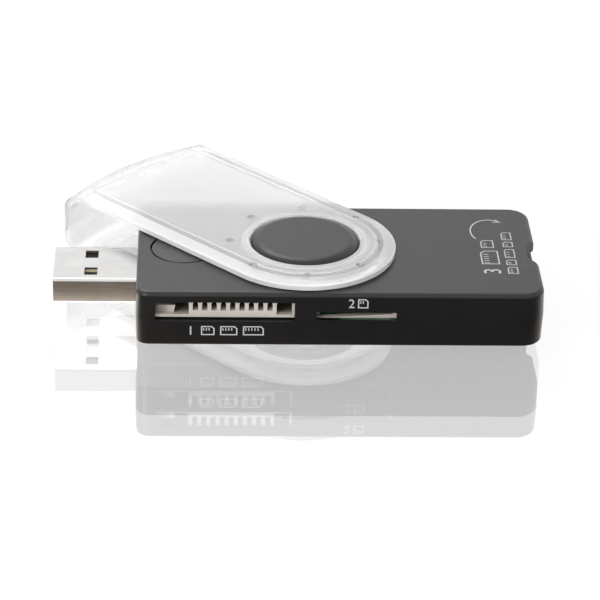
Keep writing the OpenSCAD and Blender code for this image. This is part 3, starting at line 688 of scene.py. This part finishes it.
for name, recipe in METALS.items():
    finishes[name] = sheet_metal(name, *recipe)
print("metals:", ", ".join(METALS))

# %% [markdown]
# The board is glass cloth under green lacquer. The cloth shows as a faint weave,
# which two crossed waves give. Its cut edge shows in the small slot.

# %% The board
LACQUER_DEEP = (0.006, 0.06, 0.022)
LACQUER_PALE = (0.01, 0.095, 0.036)
CLOTH_GREEN = (0.03, 0.14, 0.06)
CLOTH_SHOWS = 0.35
CLOTH_SCALE, CLOTH_WARP = 900.0, 0.6
CLOTH_DEPTH, CLOTH_BUMP = 0.004, 0.4
LACQUER_ROUGH = (0.2, 0.32)


def board_material():
    material, tree, shader, place = blank_material("board_green")
    weave = []
    for direction in ("X", "Y"):
        wave = tree.nodes.new("ShaderNodeTexWave")
        wave.bands_direction = direction
        wave.inputs["Scale"].default_value = CLOTH_SCALE
        wave.inputs["Distortion"].default_value = CLOTH_WARP
        tree.links.new(place, wave.inputs["Vector"])
        weave.append(wave.outputs["Fac"])
    cloth = times(tree, weave[0], weave[1])
    out = use_group(tree, moulded_grain, place, Grain_Scale=6000.0, Flow_Scale=180.0)
    lacquer = mix_colour(tree, out["Tone"], LACQUER_DEEP, LACQUER_PALE)
    colour = mix_colour(tree, times(tree, cloth, CLOTH_SHOWS), lacquer, CLOTH_GREEN)
    tree.links.new(colour, shader.inputs["Base Color"])
    rough = between(tree, out["Polish"], 0, 1, *LACQUER_ROUGH)
    tree.links.new(rough, shader.inputs["Roughness"])
    add_bump(tree, shader, cloth, CLOTH_DEPTH, CLOTH_BUMP)
    return material


finishes["board_green"] = board_material()
print("board ready")

# %% [markdown]
# The cap is clear plastic with a milky, finely frosted field. Real milky plastic
# scatters light inside, which a volume would do slowly. Here part of the surface
# is diffuse and part transmits. Transmission Weight is one plain number, and the
# zones change only colour, roughness and Alpha: field, groove and fold let more of
# what lies behind them through than the band does. The groove and the dimples are
# given darker colours, which are painted shade. The fold is so clear that only its
# outline shows, and Layer Weight paints that outline darker where the wall turns
# away, as painted shade.

# %% The clear cap and the lamp lens
CAP_TRANSMITS = 0.47
CAP_IOR = 1.49
CAP_SHINE = 0.25
BAND_TONE = (0.97, 0.975, 0.98)
FOLD_TONE = (0.86, 0.863, 0.866)
BEVEL_TONE = (0.86, 0.864, 0.868)
# painted shade: the groove is drawn a darker grey than the band
GROOVE_SHADE = (0.72, 0.723, 0.726)
FIELD_TONE = (0.87, 0.872, 0.876)
# painted shade: the dimples are drawn dark grey in their hollows
DIMPLE_SHADE = (0.42, 0.422, 0.425)
# painted shade: the fold's outline darkens where its wall turns away
OUTLINE_SHADE = (0.4, 0.403, 0.406)
# how strongly the painted shade of the dimples shows
DIMPLE_SHADE_SHOWS = 0.8
OUTLINE_FACING = (0.5, 0.9)
BAND_ROUGH = (0.06, 0.1)
FIELD_ROUGH = (0.36, 0.46)
BAND_ALPHA, FIELD_ALPHA = 0.97, 0.76
FOLD_CLEARER, GROOVE_CLEARER = 0.62, 0.36
CAP_DEPTH, CAP_BUMP = 0.002, 0.3
LENS_TRANSMITS = 0.6
LENS_DEEP, LENS_PALE = (0.82, 0.86, 0.83), (0.9, 0.93, 0.9)
LENS_ROUGH = (0.12, 0.2)


def cap_material():
    material, tree, shader, place = blank_material("clear_cap")
    shader.inputs["Transmission Weight"].default_value = CAP_TRANSMITS
    shader.inputs["IOR"].default_value = CAP_IOR
    shader.inputs["Specular IOR Level"].default_value = CAP_SHINE
    zones = use_group(tree, cap_zones, place)
    grain = use_group(tree, moulded_grain, place, Grain_Scale=5000.0, Flow_Scale=90.0)
    field, fold, groove = zones["Field"], zones["Fold"], zones["Groove"]
    facing = tree.nodes.new("ShaderNodeLayerWeight").outputs["Facing"]
    outline = times(tree, fold, between(tree, facing, *OUTLINE_FACING))
    colour = BAND_TONE
    # the groove, the dimples and the fold's outline are painted shade, mixed into the colour here
    for mask, tone in (
        (fold, FOLD_TONE),
        (zones["Bevel"], BEVEL_TONE),
        (groove, GROOVE_SHADE),
        (field, FIELD_TONE),
        (times(tree, zones["Dimple"], DIMPLE_SHADE_SHOWS), DIMPLE_SHADE),
        (outline, OUTLINE_SHADE),
    ):
        colour = mix_colour(tree, mask, colour, tone)
    tree.links.new(colour, shader.inputs["Base Color"])
    frosted = between(tree, grain["Polish"], 0, 1, *FIELD_ROUGH)
    smooth = between(tree, grain["Polish"], 0, 1, *BAND_ROUGH)
    off_field = minus(tree, 1.0, field)
    rough = plus(tree, times(tree, field, frosted), times(tree, off_field, smooth))
    tree.links.new(rough, shader.inputs["Roughness"])
    solid = between(tree, field, 0, 1, BAND_ALPHA, FIELD_ALPHA)
    clear_fold = times(tree, minus(tree, fold, outline), FOLD_CLEARER)
    clearer = plus(tree, clear_fold, times(tree, groove, GROOVE_CLEARER))
    tree.links.new(minus(tree, solid, clearer), shader.inputs["Alpha"])
    add_bump(tree, shader, grain["Height"], CAP_DEPTH, CAP_BUMP)
    return material


def lens_material():
    material, tree, shader, place = blank_material("lamp_clear")
    shader.inputs["Transmission Weight"].default_value = LENS_TRANSMITS
    grain = use_group(tree, moulded_grain, place, Grain_Scale=8000.0, Flow_Scale=300.0)
    colour = mix_colour(tree, grain["Tone"], LENS_DEEP, LENS_PALE)
    tree.links.new(colour, shader.inputs["Base Color"])
    rough = between(tree, grain["Polish"], 0, 1, *LENS_ROUGH)
    tree.links.new(rough, shader.inputs["Roughness"])
    return material


finishes["clear_cap"] = cap_material()
finishes["lamp_clear"] = lens_material()
print("finishes in all:", len(finishes))

# %% [markdown]
# ## Dress the CAD nodes
# The record says which material slot each node takes. Nodes whose shape is right
# keep their mesh and only get the new finish.

# %% Give every node its finish
node_slots = {part["node"]: part["material_slot"] for part in frame["record"]["subparts"]}
for node, piece in frame["nodes"].items():
    for socket in piece.material_slots:
        socket.material = finishes[node_slots[node]]
print("dressed nodes:", len(node_slots))

# %% [markdown]
# ## Smooth copies of what shows
# The CAD meshes are loose flat triangles. A copy is merged, its flat parts are
# joined into large faces, and only edges sharper than a given angle stay sharp.
# Weighted Normal then lets the large faces rule the shading, so that they look
# flat beside a round edge. The copy stands for its node, whose mesh stays.

# %% Helpers for the smooth copies
def link_piece(name, mesh, body):
    piece = bpy.data.objects.new(name, mesh)
    bpy.context.scene.collection.objects.link(piece)
    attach(piece, body)
    return piece


MERGE_WITHIN = 0.0005
FLAT_WITHIN = math.radians(0.4)


def merged(node):
    """The node's CAD mesh with its triangles joined, as a bmesh."""
    work = bmesh.new()
    work.from_mesh(frame["nodes"][node].data)
    bmesh.ops.remove_doubles(work, verts=work.verts, dist=MERGE_WITHIN * MM)
    bmesh.ops.dissolve_limit(
        work, angle_limit=FLAT_WITHIN, verts=work.verts, edges=work.edges
    )
    return work


def bake_modifiers(piece):
    """Keep the mesh as the modifiers leave it, and drop the modifiers."""
    graph = bpy.context.evaluated_depsgraph_get()
    mesh = bpy.data.meshes.new_from_object(piece.evaluated_get(graph))
    piece.modifiers.clear()
    piece.data = mesh
    mesh.name = piece.name


CORNER_ANGLE = math.radians(60)


def smooth_copy(node, name, sharp, edge_width, reshape):
    slot = node_slots[node]
    work = merged(node)
    if reshape:
        reshape(work)
    for face in work.faces:
        face.smooth = True
    mesh = bpy.data.meshes.new(name)
    work.to_mesh(mesh)
    work.free()
    mesh.materials.append(finishes[slot])
    mesh.set_sharp_from_angle(angle=math.radians(sharp))
    piece = link_piece(name, mesh, frame["nodes"][node]["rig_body"])
    if edge_width:
        edge = piece.modifiers.new("tool_radius", "BEVEL")
        edge.width = edge_width * MM
        edge.segments = 2
        edge.limit_method = "ANGLE"
        edge.angle_limit = CORNER_ANGLE
    weigh = piece.modifiers.new("flat_faces_rule", "WEIGHTED_NORMAL")
    weigh.keep_sharp = True
    bake_modifiers(piece)
    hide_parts(node)
    return piece


# %% [markdown]
# Two copies are changed a little before they are smoothed. The stop block beside
# the comb rises, and the round window shrinks in its seat, so that the dark line
# round it opens. Moving the corners that are already there does both.

# %% Make the smooth copies
STOP_TOP_Z = 1.5
STOP_RIGHT_X = 7.5
STOP_RISE = 0.65
STOP_FOUND = 0.01  # a corner this close to the top counts as the stop block's
WINDOW_SEAM = 0.19


def taller_stop(work):
    """The stop block at the left of the comb stands a little taller than in the CAD."""
    raised = 0
    for vertex in work.verts:
        at_top = abs(vertex.co.z / MM - STOP_TOP_Z) < STOP_FOUND
        if at_top and vertex.co.x / MM < STOP_RIGHT_X:
            vertex.co.z += STOP_RISE * MM
            raised += 1
    print("corners of the stop block raised:", raised)


def open_seam(work):
    """The round window is a little smaller than its seat, so that a dark line rings it."""
    low, high = (
        Vector([pick(vertex.co[axis] for vertex in work.verts) for axis in range(3)])
        for pick in (min, max)
    )
    middle = (low + high) / 2
    radius = (high.x - low.x) / 2
    for vertex in work.verts:
        for axis in (0, 1):
            out = vertex.co[axis] - middle[axis]
            vertex.co[axis] = middle[axis] + out * (1 - WINDOW_SEAM * MM / radius)
    print("window radius in mm:", round(radius / MM - WINDOW_SEAM, 2))


smooth_pieces = {}
for node, name, sharp, edge_width, reshape in (
    ("top_shell", "upper_housing", 30, 0.0, None),
    ("bottom_shell", "lower_housing", 30, 0.0, None),
    ("swivel_cap", "folded_cap", 16, 0.0, None),
    ("light_window", "window_inlay", 30, 0.1, open_seam),
    ("usb_plug_shell", "plug_sleeve", 30, 0.0, None),
    ("long_card_socket", "long_slot_tray", 30, 0.0, taller_stop),
    ("small_card_socket", "small_slot_tray", 30, 0.0, None),
):
    smooth_pieces[node] = smooth_copy(node, name, sharp, edge_width, reshape)
    print(name, len(smooth_pieces[node].data.polygons), "faces")

# %% [markdown]
# ## Rows of equal pieces
# Card springs and printed contact bars stand in even rows. One Geometry Nodes
# tree makes them all: a mesh line gives the places, an object is set on each, and
# a seeded random size keeps the springs from looking like copies. The result is
# read back as a plain mesh, so the modifier isn't needed any more.

# %% Geometry Nodes: a row of pieces
def build_row_tree():
    tree = bpy.data.node_groups.new("row_of_pieces", "GeometryNodeTree")
    sockets = {}
    for label, kind in (
        ("Item", "NodeSocketObject"),
        ("Count", "NodeSocketInt"),
        ("Start", "NodeSocketVector"),
        ("Step", "NodeSocketVector"),
        ("Wobble", "NodeSocketFloat"),
        ("Seed", "NodeSocketInt"),
        ("Finish", "NodeSocketMaterial"),
    ):
        sockets[label] = tree.interface.new_socket(label, in_out="INPUT", socket_type=kind)
    tree.interface.new_socket("Geometry", in_out="OUTPUT", socket_type="NodeSocketGeometry")
    given = tree.nodes.new("NodeGroupInput").outputs
    line = tree.nodes.new("GeometryNodeMeshLine")
    line.mode = "OFFSET"
    item = tree.nodes.new("GeometryNodeObjectInfo")
    item.inputs["As Instance"].default_value = True
    low = tree.nodes.new("ShaderNodeMath")
    low.operation = "SUBTRACT"
    low.inputs[0].default_value = 1.0
    size = tree.nodes.new("FunctionNodeRandomValue")
    size.data_type = "FLOAT"
    number = [s for s in size.inputs if s.type == "VALUE"]
    number[1].default_value = 1.0
    tall = tree.nodes.new("ShaderNodeCombineXYZ")
    tall.inputs["X"].default_value = 1.0
    tall.inputs["Y"].default_value = 1.0
    places = tree.nodes.new("GeometryNodeInstanceOnPoints")
    real = tree.nodes.new("GeometryNodeRealizeInstances")
    paint = tree.nodes.new("GeometryNodeSetMaterial")
    output = tree.nodes.new("NodeGroupOutput")
    for source, target in (
        (given["Count"], line.inputs["Count"]),
        (given["Start"], line.inputs["Start Location"]),
        (given["Step"], line.inputs["Offset"]),
        (given["Item"], item.inputs["Object"]),
        (given["Wobble"], low.inputs[1]),
        (low.outputs[0], number[0]),
        (given["Seed"], size.inputs["Seed"]),
        ([s for s in size.outputs if s.type == "VALUE"][0], tall.inputs["Z"]),
        (line.outputs["Mesh"], places.inputs["Points"]),
        (item.outputs["Geometry"], places.inputs["Instance"]),
        (tall.outputs[0], places.inputs["Scale"]),
        (places.outputs[0], real.inputs[0]),
        (real.outputs[0], paint.inputs["Geometry"]),
        (given["Finish"], paint.inputs["Material"]),
        (paint.outputs[0], output.inputs["Geometry"]),
    ):
        tree.links.new(source, target)
    return tree, {label: socket.identifier for label, socket in sockets.items()}


row_tree, row_sockets = build_row_tree()
SEED = 7


def row_mesh(name, item_mesh, count, start, step, finish, wobble=0.0):
    """Copies of a mesh in an even row, in millimetres, as one plain mesh."""
    item = bpy.data.objects.new(name + "_item", item_mesh)
    holder = bpy.data.objects.new(name + "_row", bpy.data.meshes.new(name + "_seat"))
    bpy.context.scene.collection.objects.link(item)
    bpy.context.scene.collection.objects.link(holder)
    row = holder.modifiers.new("row", "NODES")
    row.node_group = row_tree
    values = {
        "Item": item,
        "Count": count,
        "Start": place_mm(*start),
        "Step": place_mm(*step),
        "Wobble": wobble,
        "Seed": SEED,
        "Finish": finish,
    }
    for label, value in values.items():
        row[row_sockets[label]] = value
    holder.update_tag()
    graph = bpy.context.evaluated_depsgraph_get()
    mesh = bpy.data.meshes.new_from_object(holder.evaluated_get(graph))
    mesh.name = name
    bpy.data.objects.remove(holder)
    bpy.data.objects.remove(item)
    return mesh


print("row inputs:", ", ".join(row_sockets))

# %% [markdown]
# ## The card springs
# A card spring is a narrow strip of gilded sheet: it lies flat on the tray, rises
# in a soft bend and ends in a round nose that the card slides over. The CAD model
# has it with straight bends. Here one strip is drawn along its middle line,
# thickened with Solidify, and set in a row behind the teeth of the comb.

# %% Bend one strip and set the rows
STRIP_T = 0.2
LONG_ROW = (-19.19, 1.51, 10)  # first place from the hub, pitch and count
SMALL_ROW = (3.53, 0.9, 11)
LONG_BEND = (3.6, -7.4, -9.9, 1.45)  # tail, foot of the rise, nose and height
SMALL_BEND = (-4.2, -10.1, -12.6, 0.65)
LONG_W, SMALL_W = 0.5, 0.4
LONG_FOOT_Z, SMALL_FOOT_Z = 0.65, 0.3
NOSE_R, NOSE_DROP = 0.35, 0.3
FLAT_END = 0.4
RISE_STEPS = 10
SPRING_WOBBLE = 0.04
SHEET_SHARP = math.radians(40)


def bent_line(flat_to, rise_from, nose_at, height):
    """Middle line (y, z) of a spring from its flat tail to its round nose."""
    line = [(flat_to, 0.0), (rise_from + FLAT_END, 0.0)]
    nose_start = nose_at + NOSE_R
    for i in range(RISE_STEPS + 1):
        t = i / RISE_STEPS
        ease = t * t * (3 - 2 * t)
        line.append((rise_from + (nose_start - rise_from) * t, height * ease))
    for turn in (30, 60, 90):
        bend = math.radians(turn)
        drop = NOSE_DROP * (1 - math.cos(bend))
        line.append((nose_start - NOSE_R * math.sin(bend), height - drop))
    return line


def strip_mesh(name, line, width):
    mesh = bpy.data.meshes.new(name)
    points = [place_mm(side * width / 2, y, z) for y, z in line for side in (-1, 1)]
    quads = [(2 * i, 2 * i + 1, 2 * i + 3, 2 * i + 2) for i in range(len(line) - 1)]
    mesh.from_pydata(points, [], quads)
    mesh.polygons.foreach_set("use_smooth", [True] * len(quads))
    strip = bpy.data.objects.new(name, mesh)
    bpy.context.scene.collection.objects.link(strip)
    thick = strip.modifiers.new("sheet", "SOLIDIFY")
    thick.thickness = STRIP_T * MM
    thick.offset = 0
    thick.use_even_offset = True
    bake_modifiers(strip)
    baked = strip.data
    bpy.data.objects.remove(strip)
    baked.set_sharp_from_angle(angle=SHEET_SHARP)
    return baked


def spring_row(node, name, line, width, across, foot_z):
    first, pitch, count = across
    item = strip_mesh(name + "_strip", line, width)
    start = (HUB_X + first, 0, foot_z + STRIP_T / 2)
    gold = finishes["contact_gold"]
    mesh = row_mesh(name, item, count, start, (pitch, 0, 0), gold, SPRING_WOBBLE)
    piece = link_piece(name, mesh, "reader")
    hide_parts(node)


spring_row(
    "long_card_contacts", "long_slot_springs",
    bent_line(*LONG_BEND), LONG_W, LONG_ROW, LONG_FOOT_Z,
)
spring_row(
    "small_card_contacts", "small_slot_springs",
    bent_line(*SMALL_BEND), SMALL_W, SMALL_ROW, SMALL_FOOT_Z,
)
for node in ("long_card_contacts", "small_card_contacts"):
    low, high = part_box(node)
    print(node, "CAD box in mm", [round(v / MM, 2) for v in list(low) + list(high)])

# %% [markdown]
# ## Printed marks
# The housing carries small pale prints at its slots: plain numbers, small pictures
# of cards with their contacts, and an arc with an arrow head. A picture laid on the
# face would blur close by, so the ink is thin geometry. Each mark is first drawn
# flat, then laid onto the housing by casting a ray from every corner, so it follows
# the slope of the face.

# %% Draw a line and a card
LINE_W = 0.24
MITRE_LIMIT = 0.5
CORNER_CUT = 0.25


def stroke(points, width, closed=False):
    """Corners and quads of a flat line of even width through (u, v) points."""
    points = [Vector(p) for p in points]
    count = len(points)
    corners = []
    for i, here in enumerate(points):
        ahead = points[(i + 1) % count] if closed or i < count - 1 else 2 * here - points[i - 1]
        behind = points[i - 1] if closed or i else 2 * here - ahead
        way_in = (here - behind).normalized()
        along = (way_in + (ahead - here).normalized()).normalized()
        side = Vector((-along.y, along.x))
        reach = width / 2 / max(MITRE_LIMIT, side.dot(Vector((-way_in.y, way_in.x))))
        corners += [here + side * reach, here - side * reach]
    ends = count if closed else count - 1
    quads = []
    for i in range(ends):
        j = (i + 1) % count
        quads.append((2 * i + 1, 2 * j + 1, 2 * j, 2 * i))
    return corners, quads


def card_outline(left, foot, width, height):
    """The corners of a card with one corner cut off."""
    cut = CORNER_CUT * height
    right, top = left + width, foot + height
    return [(left, foot), (right, foot), (right, top - cut), (right - cut, top), (left, top)]


def flat_mesh(name, parts):
    """One flat mesh in the plane z = 0 from several (corners, faces), in millimetres."""
    points, faces = [], []
    for corners, quads in parts:
        first = len(points)
        points += [place_mm(c[0], c[1], 0) for c in corners]
        faces += [tuple(first + i for i in quad) for quad in quads]
    mesh = bpy.data.meshes.new(name)
    mesh.from_pydata(points, [], faces)
    return mesh


def faces_of(mesh):
    return [tuple(face.vertices) for face in mesh.polygons]


print("a line has", len(stroke([(0, 0), (1, 0), (1, 1)], LINE_W)[1]), "quads")

# %% [markdown]
# The contacts inside a card are an even row again, so the same Geometry Nodes tree
# draws them. A digit comes from a Text object, whose flat letter becomes a mesh
# before it is placed. Both end up as corners and faces in the same flat plane.

# %% Draw the contact bars and the digits
BAR_W = 0.85  # width of a bar, as a share of the line
BAR_H = 0.32  # height of a bar, as a share of the card
BAR_IN = 1.3  # how far the first bar stands in from the side, in lines
BAR_DOWN = 1.15  # how far the bars' feet lie below the upper line, in bars


def card_mark(left, foot, width, height, bars, line=LINE_W):
    """A card with its contact bars, as two parts."""
    bar_w = line * BAR_W
    bar_h = height * BAR_H
    corners = [(0, 0), (bar_w, 0), (bar_w, bar_h), (0, bar_h)]
    item = flat_mesh("bar", [(corners, [(0, 1, 2, 3)])])
    pitch = (width - 2 * BAR_IN * line - bar_w) / bars
    start = (left + BAR_IN * line, foot + height - line - bar_h * BAR_DOWN, 0)
    row = row_mesh("bars", item, bars, start, (pitch, 0, 0), None)
    outline = stroke(card_outline(left, foot, width, height), line, closed=True)
    return [outline, ([(v.co.x / MM, v.co.y / MM) for v in row.vertices], faces_of(row))]


def digit_mark(digit, left, foot, height):
    """A digit as one part, its foot on the line and its height as asked."""
    letter = bpy.data.curves.new("digit", "FONT")
    letter.body = digit
    letter.resolution_u = 4
    holder = bpy.data.objects.new("digit", letter)
    bpy.context.scene.collection.objects.link(holder)
    graph = bpy.context.evaluated_depsgraph_get()
    mesh = bpy.data.meshes.new_from_object(holder.evaluated_get(graph))
    bpy.data.objects.remove(holder)
    places = [v.co for v in mesh.vertices]
    low = Vector((min(v.x for v in places), min(v.y for v in places)))
    scale = height / (max(v.y for v in places) - low.y)
    corners = [(left + (v.x - low.x) * scale, foot + (v.y - low.y) * scale) for v in places]
    return [(corners, faces_of(mesh))]


ARC_STEPS = 20


def arc_points(middle, radii, start, end):
    points = []
    for i in range(ARC_STEPS + 1):
        turn = math.radians(start + (end - start) * i / ARC_STEPS)
        x = middle[0] + radii[0] * math.cos(turn)
        points.append((x, middle[1] + radii[1] * math.sin(turn)))
    return points


print("digit corners:", len(digit_mark("2", 0, 0, 1)[0][0]))

# %% [markdown]
# The ink lies 0.015 mm proud of the plastic. The marks stand under the long slot,
# above the small slot, and near the card end of the top face, where they read along
# the width. One helper prints them all: it takes the corner, the reading direction
# and the upright direction of a mark, and the housing half that carries it.

# %% Helper that prints a mark
INK_LIFT = 0.015
RAY_START = 3
FRONT_READING = Vector((1, 0, 0)), Vector((0, 0, 1))
TOP_READING = Vector((0, 1, 0)), Vector((-1, 0, 0))
ink_white = moulded_plastic("ink_white", (0.5, 0.5, 0.5), (0.56, 0.56, 0.56), 0.5, depth=0.001)


def print_on(name, parts, corner, reading, upright, target):
    """Lay flat parts onto a housing half by rays along the mark's depth."""
    ground = BVHTree.FromPolygons(
        [v.co.copy() for v in target.data.vertices], faces_of(target.data)
    )
    outward = reading.cross(upright)
    mesh = flat_mesh(name, parts)
    for vertex in mesh.vertices:
        spot = corner + reading * vertex.co.x + upright * vertex.co.y
        above = spot + outward * RAY_START * MM
        hit = ground.ray_cast(above, -outward)[0]
        vertex.co = hit + outward * INK_LIFT * MM
    mesh.materials.append(ink_white)
    link_piece(name, mesh, "reader")


print("ink stands", INK_LIFT, "mm proud")

# %% [markdown]
# Each entry below gives a card's left side, its width and its number of bars, in
# millimetres along the mark. Tables keep the places in sight, and loops draw them.

# %% Print the marks on the housing
FINE_LINE = 0.2
LONG_CARDS = ((1.9, 2.0, 3), (5.0, 2.6, 4), (8.7, 3.2, 5))
END_CARDS = ((0.0, 2.2, 3), (3.1, 1.7, 2), (5.7, 2.9, 3), (9.6, 1.7, 2), (12.2, 2.6, 3))
ARROW_WINGS = Vector((1.0, 0.75)), Vector((0.15, 1.35))

long_mark = digit_mark("1", 0, 0, 1.6)
for left, width, bars in LONG_CARDS:
    long_mark += card_mark(left, 0.05, width, 1.5, bars, FINE_LINE)
print_on(
    "mark_long_slot", long_mark, place_mm(HUB_X - 19.0, -16, UNDERSIDE_Z + 1.9),
    *FRONT_READING, smooth_pieces["bottom_shell"],
)

small_mark = digit_mark("2", 0, 0, 1.55) + card_mark(1.6, 0.05, 1.5, 1.45, 2, FINE_LINE)
print_on(
    "mark_small_slot", small_mark, place_mm(HUB_X + 6.65, -16, UNDERSIDE_Z + 7.0),
    *FRONT_READING, smooth_pieces["top_shell"],
)

end_mark = digit_mark("3", 0, 3.1, 2.9) + card_mark(3.4, 3.15, 4.6, 2.8, 5)
end_mark += card_mark(9.3, 3.6, 2.6, 2.0, 3, FINE_LINE)
for left, width, bars in END_CARDS:
    end_mark += card_mark(left, 0.35, width, 1.55, bars, FINE_LINE)
sweep = arc_points((15.2, 3.7), (4.4, 3.3), 128, -38)
tip = Vector(sweep[-1])
end_mark.append(stroke(sweep, LINE_W))
end_mark.append(stroke([tip + ARROW_WINGS[0], tip, tip + ARROW_WINGS[1]], LINE_W))
print_on(
    "mark_card_end", end_mark, place_mm(HUB_X + 35.2, -8.4, TOP_Z),
    *TOP_READING, smooth_pieces["top_shell"],
)
print("marks printed: 3")
